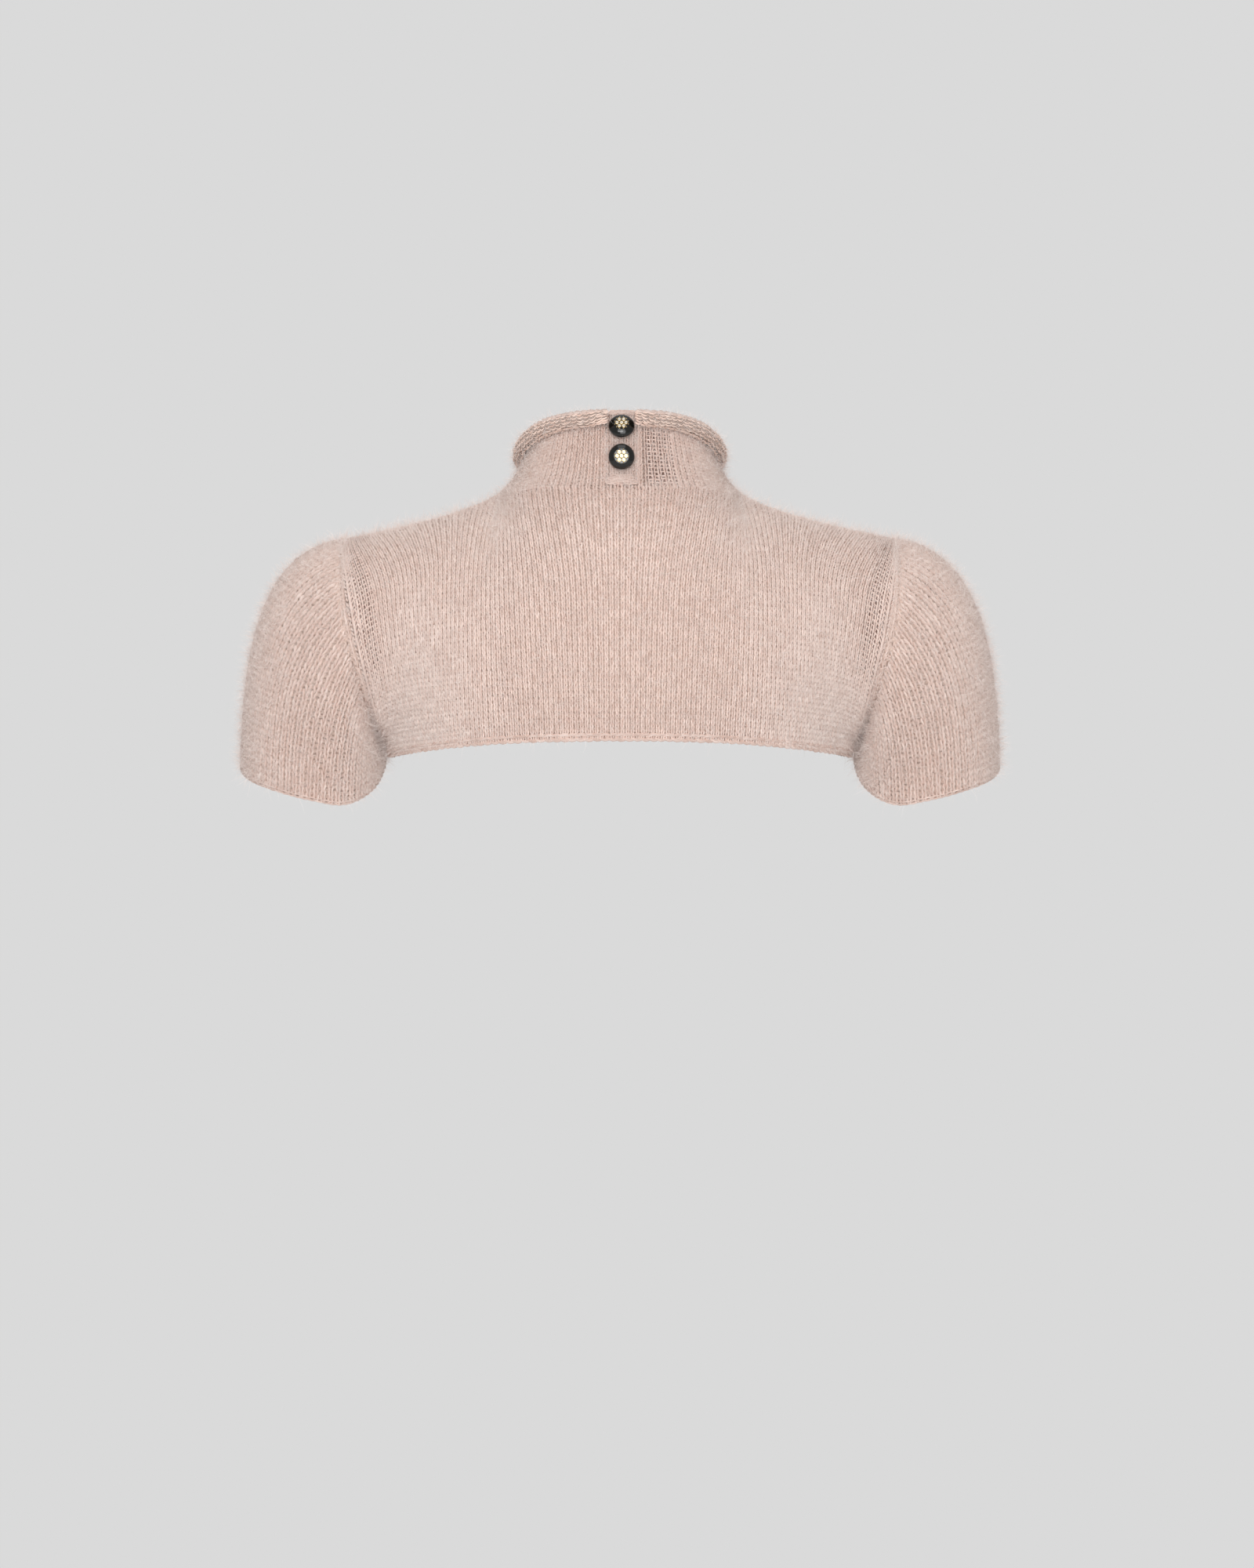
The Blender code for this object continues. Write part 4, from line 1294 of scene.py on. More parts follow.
# Widths of the body's columns by how far out from the middle they lie, the share of the way up at
# which they have them, and how far out and at how many places that is worked out
WALE_PLACES = (0.0, 47.0, 75.0, 103.0, 132.0, 170.0)
WALE_WIDTHS = (3.38, 3.13, 2.82, 2.56, 2.49, 2.44)
WALE_HEIGHT = 0.45
WALE_MOST_X = 164.0
WALE_SAMPLES = 400

# Between which shares of the way up the columns change to the spacing of the panel's top
GATHER_HEIGHTS = (0.55, 1.05)

# How far along a sleeve its columns are evenly spaced round it
SLEEVE_EVEN_AT = 0.75
SLEEVE_SAMPLES = 721

# Samples along a line between columns, and the least share of a last row that is knitted
LINE_SAMPLES = 121
LAST_ROW = 0.15


def body_lines(panel: Panel, wales: int) -> tuple[Array, Array]:
    """The lines between the columns of a body panel.

    The columns keep the spacing that shows from behind at mid height, closest at the sides, and
    run to even spacings round the neck line and along the shoulder seam over the panel's top.

    Args:
        panel: the panel.
        wales: how many columns it has.

    Returns:
        The places u and v of each line, shaped (wales + 1, samples).
    """
    x = np.linspace(0.0, WALE_MOST_X, WALE_SAMPLES)
    width = np.interp((x[1:] + x[:-1]) / 2, WALE_PLACES, WALE_WIDTHS)
    number = np.concatenate([[0.0], np.cumsum(np.diff(x) / width)])
    place = np.linspace(0.0, 1.0, WALE_SAMPLES)
    middle_x = panel_skin(panel, place, np.full_like(place, WALE_HEIGHT))[:, 0]
    half = wales // 2
    at = np.linspace(0.0, number[-1], half + 1)
    low = np.interp(np.interp(at, number, x) * middle_x[-1] / x[-1], middle_x, place)
    around = np.linspace(0.0, math.pi / 2, NECK_WALES + 1)
    shoulder = np.linspace(neck_share(), 1.0, half - NECK_WALES + 1)
    high = np.concatenate([neck_place(panel, around), shoulder[1:]])
    samples = np.linspace(0.0, 1.0, LINE_SAMPLES)
    change = smooth_step(*GATHER_HEIGHTS, samples) / smooth_step(*GATHER_HEIGHTS, np.array(1.0))
    lines = low[:, None] + (high - low)[:, None] * change[None]
    lines = np.concatenate([-lines[:0:-1], lines])
    return lines, samples[None] * reach(panel, lines)


def knit_lattice(skin: Skin, u: Array, v: Array, pitch: float) -> Lattice:
    """Columns between lines on a skin, with rows of one height as far up as each column goes."""
    cut_u, cut_v, fit = rows_by_pitch(skin, u, v, pitch)
    room = (fit[1:] + fit[:-1]) / 2
    alive = np.arange(cut_u.shape[1] - 1)[None] + LAST_ROW < room[:, None]
    return Lattice(skin, cut_u, cut_v, alive)


def sleeve_lattice(side: Side) -> Lattice:
    """Columns and rows of a sleeve: the rows are counted up from the cuff."""
    dense = np.linspace(0.0, 2 * math.pi, SLEEVE_SAMPLES)
    length = lengths_along(sleeve_point(dense, np.full_like(dense, SLEEVE_EVEN_AT)))
    angles = np.interp(np.linspace(0.0, length[-1], SLEEVE_WALES + 1), length, dense)
    v, u = np.meshgrid(np.linspace(0.0, 1.0, LINE_SAMPLES), angles)
    return knit_lattice(SleeveSkin(side), u, v, SLEEVE_PITCH)


def plain_lattice(skin: Skin, wales: int, rows: int, v_range: tuple[float, float]) -> Lattice:
    """Even columns and rows on a skin, over a part of its v."""
    u_range, _ = skin.limits
    v, u = np.meshgrid(np.linspace(*v_range, TABLE_SAMPLES), np.linspace(*u_range, wales + 1))
    cut_u, cut_v = rows_by_length(skin, u, v, rows)
    return Lattice(skin, cut_u, cut_v, np.ones((wales, rows), dtype=bool))


# Materials


Color = tuple[float, float, float]


@dataclass(frozen=True)
class Finish:
    """A surface finish.

    Attributes:
        name: the material's name.
        low: base colour where the tone attribute is 0.
        high: base colour where it is 1.
        roughness: micro roughness.
        metallic: 1 for metal.
        sheen: how strong the soft fibre sheen is.
        mottle: how much a fine noise varies the colour.
        coat: strength of a clear coat.
        purl: how deep the reverse side's bumps are on the stitch map, in metres.
    """

    name: str
    low: Color
    high: Color
    roughness: float
    metallic: float = 0.0
    sheen: float = 0.0
    mottle: float = 0.0
    coat: float = 0.0
    purl: float = 0.0

    # The sheen's roughness, and the scale and detail of the noise that mottles the colour
    SHEEN_ROUGHNESS: ClassVar[float] = 0.5
    NOISE_SCALE: ClassVar[float] = 140.0
    NOISE_DETAIL: ClassVar[float] = 3.0

    # How far, in radians, the ridges of the reverse side sway from column to column
    PURL_SWAY: ClassVar[float] = 1.3

    def make(self) -> bpy.types.Material:
        """The node material of this finish."""
        mat = bpy.data.materials.new(self.name)
        mat.use_nodes = True
        nodes, links = mat.node_tree.nodes, mat.node_tree.links
        shader = nodes["Principled BSDF"]
        values = {
            "Roughness": self.roughness,
            "Metallic": self.metallic,
            "Sheen Weight": self.sheen,
            "Sheen Roughness": self.SHEEN_ROUGHNESS,
            "Sheen Tint": (*self.high, 1.0),
            "Coat Weight": self.coat,
        }
        for name, value in values.items():
            shader.inputs[name].default_value = value
        tone = nodes.new("ShaderNodeAttribute")
        tone.attribute_name = "tone"
        where = nodes.new("ShaderNodeTexCoord")
        noise = nodes.new("ShaderNodeTexNoise")
        noise.inputs["Scale"].default_value = self.NOISE_SCALE
        noise.inputs["Detail"].default_value = self.NOISE_DETAIL
        links.new(where.outputs["Object"], noise.inputs["Vector"])
        spread = nodes.new("ShaderNodeMath")
        spread.operation = "MULTIPLY_ADD"
        spread.inputs[1].default_value = self.mottle
        links.new(noise.outputs["Fac"], spread.inputs[0])
        links.new(tone.outputs["Fac"], spread.inputs[2])
        shift = nodes.new("ShaderNodeMath")
        shift.operation = "SUBTRACT"
        shift.inputs[1].default_value = self.mottle / 2
        links.new(spread.outputs[0], shift.inputs[0])
        mix = nodes.new("ShaderNodeMix")
        mix.data_type = "RGBA"
        mix.inputs["A"].default_value = (*self.low, 1.0)
        mix.inputs["B"].default_value = (*self.high, 1.0)
        links.new(shift.outputs[0], mix.inputs["Factor"])
        links.new(mix.outputs["Result"], shader.inputs["Base Color"])
        if self.purl > 0:
            self.add_purl(mat)
        return mat

    def add_purl(self, mat: bpy.types.Material) -> None:
        """Wavy ridges of the reverse side.

        The height is the sine of one turn for each row, shifted by the sine of one turn for each
        column.
        """
        nodes, links = mat.node_tree.nodes, mat.node_tree.links
        place = nodes.new("ShaderNodeUVMap")
        place.uv_map = STITCH_MAP
        parts = nodes.new("ShaderNodeSeparateXYZ")
        links.new(place.outputs["UV"], parts.inputs[0])

        def step(kind: str, source: bpy.types.NodeSocket, factor: float = 0.0) -> bpy.types.Node:
            """A node that does one sum with a value and perhaps a factor."""
            node = nodes.new("ShaderNodeMath")
            node.operation = kind
            node.inputs[1].default_value = factor
            links.new(source, node.inputs[0])
            return node

        column = step("SINE", step("MULTIPLY", parts.outputs["X"], 2 * math.pi).outputs[0])
        shift = step("MULTIPLY", parts.outputs["Y"], 2 * math.pi)
        both = step("ADD", shift.outputs[0])
        links.new(step("MULTIPLY", column.outputs[0], self.PURL_SWAY).outputs[0], both.inputs[1])
        bump = nodes.new("ShaderNodeBump")
        bump.inputs["Distance"].default_value = self.purl
        links.new(step("SINE", both.outputs[0]).outputs[0], bump.inputs["Height"])
        links.new(bump.outputs["Normal"], nodes["Principled BSDF"].inputs["Normal"])


# The knit's finishes. The ground is painted darkest where its tone is 1: painted shade in the depth
# that open knit shows
STRAND = Finish("blush_strand", (0.64, 0.465, 0.40), (0.99, 0.85, 0.785), 1.0, sheen=0.3, mottle=0.22)
REVERSE = Finish("blush_reverse", (0.68, 0.45, 0.36), (0.98, 0.78, 0.68), 1.0, sheen=0.3, mottle=0.22)
GROUND = Finish(
    "blush_ground", (0.86, 0.67, 0.58), (0.19, 0.115, 0.09), 1.0, sheen=0.1, mottle=0.04, purl=0.0006
)
MOHAIR = Finish("blush_fibre", (0.82, 0.70, 0.65), (1.0, 0.92, 0.88), 0.9, sheen=0.2, mottle=0.2)

# The buttons' finishes
GLOSS = Finish("black_gloss_round", (0.005, 0.005, 0.004), (0.012, 0.010, 0.009), 0.12, coat=0.2, mottle=0.8)
GOLD = Finish("pale_gold", (0.70, 0.55, 0.32), (0.93, 0.79, 0.52), 0.22, metallic=1.0, mottle=0.8)
STONE = Finish("clear_stone", (0.80, 0.77, 0.72), (1.0, 0.99, 0.97), 0.28, metallic=0.85, mottle=0.5)


# Buttons


Profile = tuple[tuple[float, float], ...]

# The radius at which a turned piece closes on its axis
AXIS = 0.01

# Samples each way over a button's underside, to find how far the placket stands up to it
FOOT_SAMPLES = 41


def turned(profile: Profile, sides: int) -> Weave:
    """A closed turned solid about Z from a profile of (radius, height), bottom to top."""
    radius, height = np.array(profile).T
    angles = np.arange(sides) * 2 * math.pi / sides
    ring = vectors(radius[:, None] * np.cos(angles), radius[:, None] * np.sin(angles), height[:, None])
    faces = grid_faces(len(profile), sides, closed=True)
    return Weave(ring.reshape(-1, 3), faces, np.zeros(ring.size // 3))


def seat(name: str, weave: Weave, lift: float) -> Weave:
    """Set a turned piece on the placket, leaning with its button.

    Args:
        name: the button's node name.
        weave: the piece, standing on Z = 0.
        lift: how far over the button's underside it stands.

    Returns:
        The same piece in its place.
    """
    height, tilt_degrees = BUTTON_TILTS[name]
    tilt = math.radians(tilt_degrees)
    middle = placket_point(np.array([0.0]), np.array([height]))[0]
    normal = np.array([0.0, -math.cos(tilt), math.sin(tilt)])
    foot = BUTTON_RADIUS - BUTTON_FOOT_INSET
    spread = np.linspace(-foot, foot, FOOT_SAMPLES)
    z = height + spread[:, None] * math.cos(tilt)
    inside = spread[:, None] ** 2 + spread[None] ** 2 <= foot**2
    proud = ((placket_point(spread[None] + 0.0 * z, z + 0.0 * spread[None]) - middle) @ normal)[inside]
    origin = middle + normal * (float(proud.max()) + SEAM_GAP + lift)
    turn = math.pi / 2 - tilt
    matrix = np.array(
        [[1, 0, 0], [0, math.cos(turn), -math.sin(turn)], [0, math.sin(turn), math.cos(turn)]]
    )
    return Weave(weave.points @ matrix.T + origin, weave.faces, weave.tone)


def dome_height(degrees: float) -> float:
    """The height of a button's dome at an angle up its round."""
    return BUTTON_EDGE + (BUTTON_HEIGHT - BUTTON_EDGE) * math.sin(math.radians(degrees))


def places_round(count: int, radius: float, first: float = 0.0) -> list[tuple[float, float]]:
    """Places evenly round a circle, the first one a share of a step past the X axis."""
    turns = [2 * math.pi * (k + first) / count for k in range(count)]
    return [(radius * math.cos(turn), radius * math.sin(turn)) for turn in turns]


@dataclass(frozen=True)
class Button:
    """One domed button with a round setting of small stones.

    Attributes:
        name: its node's name.
        stones: how many stones stand round the middle one.
        stone_circle: the radius on which they stand.
        stone_radius: the radius of each.
        beads: how many small beads stand round the stones.
        bead_circle: the radius on which the beads stand.
    """

    name: str
    stones: int = 6
    stone_circle: float = 2.65
    stone_radius: float = 0.88
    beads: int = 12
    bead_circle: float = 4.15

    # Sides of each turned piece, and points up the dome's rounded side
    DOME_SIDES: ClassVar[int] = 64
    BEZEL_SIDES: ClassVar[int] = 20
    BEAD_SIDES: ClassVar[int] = 10
    GEM_SIDES: ClassVar[int] = 8
    ROUND_POINTS: ClassVar[int] = 10

    # Profiles of radius and height. The top's heights are over the crown, the bevel is how far
    # inside the dome's edge and over its foot a point lies, a bezel's radii are over its stone's,
    # and a stone's are shares of its own
    BEVEL: ClassVar[tuple[float, float]] = (0.2, 0.5)
    TOP: ClassVar[Profile] = ((4.7, 0.0), (4.3, 0.05), (3.0, 0.05), (AXIS, 0.05))
    BEZEL: ClassVar[Profile] = ((0.35, -0.25), (0.38, 0.35), (0.2, 0.62), (-0.05, 0.5))
    BEZEL_TOP: ClassVar[float] = 0.4
    BEAD: ClassVar[Profile] = ((AXIS, -0.3), (0.34, 0.0), (0.34, 0.25), (0.2, 0.5), (AXIS, 0.58))
    GEM: ClassVar[Profile] = ((1.0, 0.35), (0.98, 0.6), (0.55, 1.0))
    GEM_TOP: ClassVar[float] = 1.02

    def body(self) -> Weave:
        """The glossy dome: a rounded side and a low step up to a flat top for the setting."""
        side = [
            (BUTTON_RADIUS * math.cos(math.radians(degrees)), dome_height(degrees))
            for degrees in np.linspace(0.0, BUTTON_CROWN_DEGREES, self.ROUND_POINTS)
        ]
        crown = side[-1][1] + BUTTON_CROWN_RISE
        top = [(radius, crown + rise) for radius, rise in self.TOP]
        inset, height = self.BEVEL
        foot = [(AXIS, 0.0), (BUTTON_RADIUS - BUTTON_FOOT_INSET, 0.0), (BUTTON_RADIUS - inset, height)]
        return seat(self.name, turned((*foot, *side, *top), self.DOME_SIDES), 0.0)

    def setting(self) -> Weave:
        """The gold bezels that hold the stones, and the beads round them."""
        bezel = [(self.stone_radius + radius, height) for radius, height in self.BEZEL]
        bezels = self.copies(turned((*bezel, (AXIS, self.BEZEL_TOP)), self.BEZEL_SIDES), self.places())
        beads = self.copies(
            turned(self.BEAD, self.BEAD_SIDES), places_round(self.beads, self.bead_circle, 0.5)
        )
        return self.crown(bezels + beads)

    def gems(self) -> Weave:
        """The faceted stones."""
        gem = [(self.stone_radius * radius, height) for radius, height in self.GEM]
        return self.crown(self.copies(turned((*gem, (AXIS, self.GEM_TOP)), self.GEM_SIDES), self.places()))

    def places(self) -> list[tuple[float, float]]:
        """Where the stones stand on the crown."""
        return [(0.0, 0.0)] + places_round(self.stones, self.stone_circle)

    @staticmethod
    def copies(piece: Weave, places: list[tuple[float, float]]) -> list[Weave]:
        """The same upright piece at several places."""
        return [piece._replace(points=piece.points + np.array([x, y, 0.0])) for x, y in places]

    def crown(self, pieces: list[Weave]) -> Weave:
        """Small pieces joined and set on the button's crown."""
        lift = dome_height(BUTTON_CROWN_DEGREES) + BUTTON_CROWN_RISE + SEAM_GAP
        return seat(self.name, join(pieces), lift)


# Garment


@dataclass(frozen=True)
class Cut:
    """The flat cut of one panel, in metres: its width, length and area."""

    width: float
    length: float
    area: float


@dataclass(frozen=True)
class LooseColumns:
    """Where the knit is open beside an edge, with soft limits.

    Attributes:
        opens: the columns from the edge over which it opens.
        closes: the columns over which it closes again.
        low: the shares of the height over which it opens.
        high: the shares of the height over which it closes.
        most: how open it is in between.
    """

    opens: tuple[float, float]
    closes: tuple[float, float]
    low: tuple[float, float]
    high: tuple[float, float]
    most: float

    def openness(self, column: Array, level: Array) -> Array:
        """How open the knit is, by columns from the edge and by the share of the height."""
        across = smooth_step(*self.opens, column) * (1 - smooth_step(*self.closes, column))
        return self.most * across * smooth_step(*self.low, level) * (1 - smooth_step(*self.high, level))


BESIDE_ARMHOLE = LooseColumns((0.1, 0.6), (4.4, 5.4), (0.16, 0.34), (0.88, 0.98), most=0.8)
BESIDE_SLIT = LooseColumns((0.8, 1.2), (5.8, 6.4), (0.02, 0.1), (0.8, 0.95), most=0.9)


class Bar(NamedTuple):
    """A chain across the placket.

    Its height is over the placket's foot or top, and its ends rise over its middle by the bow at
    BAR_BOW_WIDTH to either side.
    """

    height: float
    half_length: float
    bow: float


FOOT_BARS = (Bar(-0.4, 9.6, 0.9), Bar(1.9, 8.6, 0.9), Bar(4.0, 7.0, 0.9))
TOP_BARS = (Bar(-0.5, 8.0, -0.4), Bar(0.3, 7.6, -0.4))
BAR_BOW_WIDTH = 10.0
BAR_SAMPLES = 60


@dataclass(frozen=True)
class Edge:
    """Where a chain runs along a row of a lattice.

    Attributes:
        row: the row's number.
        inset: how many columns inside the lattice it starts and ends.
        samples: how many points it is worked out at.
    """

    row: float
    inset: float
    samples: int

    def on(self, lattice: Lattice) -> Spot:
        """The edge's points and directions."""
        columns = lattice.alive.shape[0]
        column = np.linspace(self.inset, columns - self.inset, self.samples)
        return lattice.spot(column, np.full(self.samples, self.row))


HEM_EDGE = Edge(0.5, 0.2, 500)
CUFF_EDGE = Edge(0.3, 0.0, 400)
RIM_EDGE = Edge(4.1, 0.2, 700)


def raised(near_seam: Array) -> Array:
    """The base cloth's depth under the knit, which is less near a seam."""
    return CLOTH_DEPTH + (SEAM_DEPTH - CLOTH_DEPTH) * near_seam


class Garment:
    """Makes every piece of the top and hides the solid that each stands for."""

    CUTS = {
        "back": Cut(0.40, 0.175, 0.056),
        "front": Cut(0.38, 0.170, 0.052),
        "sleeve": Cut(0.34, 0.150, 0.031),
        "collar": Cut(0.43, 0.056, 0.021),
        "placket": Cut(0.018, 0.048, 0.00086),
    }

    # Where the base cloth rises to a seam: shares of a body's half width and height, and of a
    # sleeve's length
    BODY_SEAM_PLACES = (0.955, 1.0)
    BODY_SEAM_HEIGHTS = (0.04, 0.12)
    SLEEVE_SEAM_PLACES = (0.95, 1.0)

    # The base cloths' grids: points round and along a sleeve, levels of the collar's stand and
    # roll, and points across and up the placket
    SLEEVE_GRID = (120, 46)
    COLLAR_GRID = (14, 18)
    PLACKET_GRID = (15, 30)

    # The stitch map: rows of a sleeve and of the collar's stand, and a placket's stitch
    SLEEVE_MAP_ROWS = 30
    COLLAR_MAP_ROWS = 17
    PLACKET_MAP_STITCH = (3.0, 2.5)

    # Levels over which the collar's base cloth is painted lighter where the roll starts, painted light
    # in the shade inside the roll
    ROLL_LEVELS = (1.0, 1.12)

    # One yarn all over: the sleeves', stand's and placket's lower tones than the body's are painted shade,
    # darker where the sleeves turn from the lamps and round the neck
    BODY_GAUGE = Gauge()
    SLEEVE_GAUGE = Gauge(spread=0.27, relief=1.6, tone=0.33)
    STAND_GAUGE = Gauge(tone=0.26)
    PLACKET_GAUGE = Gauge(floor=Gauge.floor - PLACKET_RISE, tone=0.3)
    ROLL_RELIEF = 0.7

    # The rolled edge's fibres, where they differ from the stand's
    ROLL_FIBRES = 9000
    ROLL_STAND = 0.7

    # Points up each body's armhole edge, to find the nearest ones to the sleeve's
    ARMHOLE_SAMPLES = 301

    def __init__(self) -> None:
        self.knitter = Knitter(seed=11)
        self.fuzz = Fuzz(seed=23)
        self.strand = STRAND.make()
        self.ground = GROUND.make()
        self.fibre = MOHAIR.make()

    def panel(self, panel: Panel, wales: int, hair: Hair) -> None:
        """A body panel: base cloth, stitches, hem chain, fibres, and the back's shoulder seams."""
        node = f"{panel.name}_panel"
        lines, heights = body_lines(panel, wales)
        lattice = knit_lattice(BodySkin(panel), lines, heights, ROW_PITCH)
        cloth_u, cloth_v = rows_by_length(lattice.skin, lines, heights, CLOTH_ROWS)
        u, v = cloth_u.T, cloth_v.T
        column, level = np.meshgrid(np.arange(wales + 1.0), np.linspace(0.0, 1.0, CLOTH_ROWS + 1))
        near_seam = smooth_step(*self.BODY_SEAM_PLACES, np.abs(u)) * smooth_step(*self.BODY_SEAM_HEIGHTS, v)
        stitch = np.stack([column, level * CLOTH_ROWS], axis=-1)
        # Painted shade: the base cloth darkens where the knit beside the armhole is loose
        loose = BESIDE_ARMHOLE.openness(np.minimum(column, wales - column), level)
        # Painted light: the base cloth is lighter where it rises to a seam, in the groove's shade
        tone = GROUND_TONE * (1 - near_seam) + (1 - GROUND_TONE) * loose
        weave = cloth(lattice.skin, u, v, raised(near_seam), tone, stitch, closed=False)
        base = make_object(f"{node}_cloth", weave, self.ground)
        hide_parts(node)
        column, row = np.meshgrid(np.arange(wales) + 0.5, np.arange(lattice.alive.shape[1]), indexing="ij")
        rows = lattice.alive.sum(axis=1)[:, None]
        openness = BESIDE_ARMHOLE.openness(np.minimum(column, wales - column), row / rows)
        # Painted shade that darkens the stitches over their last rows under the neck line
        under_neck = 1 - smooth_step(NECK_WALES, NECK_WALES + NECK_SHADE_COLUMNS, np.abs(column - wales / 2))
        shade = NECK_PAINTED_SHADE * ((1 - smooth_step(0.0, NECK_SHADE_ROWS, rows - row)) * under_neck)
        stitches = join([
            self.knitter.legs(lattice, self.BODY_GAUGE, openness, shade),
            self.knitter.ties(lattice, openness),
        ])
        legs = make_object(f"{node}_stitches", stitches, self.strand)
        links = self.knitter.chain(HEM_EDGE.on(lattice), HEM_CHAIN)
        hem = make_object(f"{node}_hem_chain", links, self.strand)
        fibres = make_object(f"{node}_fibres", self.fuzz.grow(lattice, hair), self.fibre)
        seams = [self.shoulder(side) for side in Side] if panel is BACK else []
        self.declare(base, panel.name)

    def sleeve(self, side: Side, hair: Hair) -> None:
        """A sleeve: base cloth, stitches, cuff chain, fibres and the armhole's seam."""
        node = f"sleeve_{side.name.lower()}"
        lattice = sleeve_lattice(side)
        points, levels = self.SLEEVE_GRID
        angles = np.linspace(0.0, 2 * math.pi, points + 1)[:-1]
        u, v = np.meshgrid(angles, np.linspace(0.0, 1.0, levels))
        near_seam = smooth_step(*self.SLEEVE_SEAM_PLACES, v)
        # Painted light: the base cloth is lighter where it rises to the seam, in the groove's shade
        tone = GROUND_TONE * (1 - near_seam)
        stitch = np.stack([u * STITCH_TURN / (2 * math.pi), v * self.SLEEVE_MAP_ROWS], axis=-1)
        weave = cloth(lattice.skin, u, v, raised(near_seam), tone, stitch, closed=True)
        base = make_object(f"{node}_cloth", weave, self.ground)
        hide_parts(node)
        stitches = self.knitter.legs(lattice, self.SLEEVE_GAUGE, np.zeros(lattice.alive.shape))
        legs = make_object(f"{node}_stitches", stitches, self.strand)
        links = self.knitter.chain(CUFF_EDGE.on(lattice), CUFF_CHAIN)
        cuff = make_object(f"{node}_cuff_chain", links, self.strand)
        fibres = make_object(f"{node}_fibres", self.fuzz.grow(lattice, hair), self.fibre)
        seam = self.seam(side)
        self.declare(base, "sleeve")

    def seam(self, side: Side) -> list[bpy.types.Object]:
        """The armhole's seam: the allowance as a cord under it, and a chain over both cloths' edges.

        Args:
            side: which sleeve is set in.

        Returns:
            The cord and the chain.
        """
        node = f"sleeve_{side.name.lower()}"
        angles = np.linspace(0.0, 2 * math.pi, SEAM_STEPS + 1)
        loop = SleeveSkin(side).spot(angles, np.ones_like(angles))
        up = np.linspace(0.0, 1.0, self.ARMHOLE_SAMPLES)
        edges = [BodySkin(panel).spot(np.full_like(up, side.value), up) for panel in (BACK, FRONT)]
        points = np.concatenate([edge.point for edge in edges])
        normals = np.concatenate([edge.normal for edge in edges])
        near = np.linalg.norm(loop.point[:, None] - points[None], axis=-1).argmin(axis=1)
        normal = unit(loop.normal + normals[near])
        ahead = unit(np.gradient(loop.point, axis=0))
        into = unit(np.cross(ahead, normal))
        cord = self.cord(loop.point, normal, np.full(len(angles), CORD_RADIUS))
        links = self.knitter.chain(Spot(loop.point, ahead, into, normal), SEAM_CHAIN)
        return [
            make_object(f"{node}_seam_cord", cord, self.ground),
            make_object(f"{node}_seam_chain", links, self.strand),
        ]

    def shoulder(self, side: Side) -> bpy.types.Object:
        """The shoulder seam's allowance as a cord under it, closed at both ends."""
        share = np.linspace(neck_share(), 1.0, SHOULDER_STEPS + 1)
        u, v = side.value * share, np.ones_like(share)
        back, front = (BodySkin(panel).spot(u, v) for panel in (BACK, FRONT))
        line = (back.point + front.point) / 2
        ahead = unit(np.gradient(line, axis=0)) * CORD_END
        line = np.concatenate([line[:1] - ahead[:1], line, line[-1:] + ahead[-1:]])
        normal = unit(back.normal + front.normal)
        normal = np.concatenate([normal[:1], normal, normal[-1:]])
        radius = np.full(len(line), CORD_RADIUS)
        radius[[0, -1]] = 0.0
        cord = self.cord(line, normal, radius)
        return make_object(f"shoulder_{side.name.lower()}_seam_cord", cord, self.ground)

    @staticmethod
    def cord(line: Array, normal: Array, radius: Array) -> Weave:
        """A round cord of a radius at each point, whose top lies just under a line of points."""
        into = unit(np.cross(unit(np.gradient(line, axis=0)), normal))
        turn = np.linspace(0.0, 2 * math.pi, CORD_SIDES + 1)[:-1][None, :, None]
        centre = line - normal * (CORD_RADIUS + CORD_SINK)
        spoke = np.cos(turn) * into[:, None] + np.sin(turn) * normal[:, None]
        ring = centre[:, None] + radius[:, None, None] * spoke
        faces = grid_faces(len(line), CORD_SIDES, closed=True)
        tone = np.full(len(line) * CORD_SIDES, CORD_TONE)
        place = np.stack(np.meshgrid(np.arange(CORD_SIDES) / 2, np.arange(len(line)) / 2), axis=-1)
        return Weave(ring.reshape(-1, 3), faces, tone, place.reshape(-1, 2))

    def collar(self, hair: Hair) -> None:
        """The funnel neck: stand, rolled edge with its reverse side, rim chain and fibres."""
        skin = CollarSkin()
        wales = COLLAR_WALES
        stand = plain_lattice(skin, wales, STAND_ROWS, (skin.limits[1][0], 1.0))
        low, high = self.COLLAR_GRID
        levels = np.concatenate([np.linspace(0.0, 1.0, low), np.linspace(1.0, 2.0, high + 1)[1:]])
        u, v = np.meshgrid(np.linspace(0.0, 1.0, 2 * wales + 1), levels)
        # Painted light on the base cloth inside the roll
        usual = GROUND_TONE * (1 - ROLL_PAINTED_LIGHT * smooth_step(*self.ROLL_LEVELS, v))
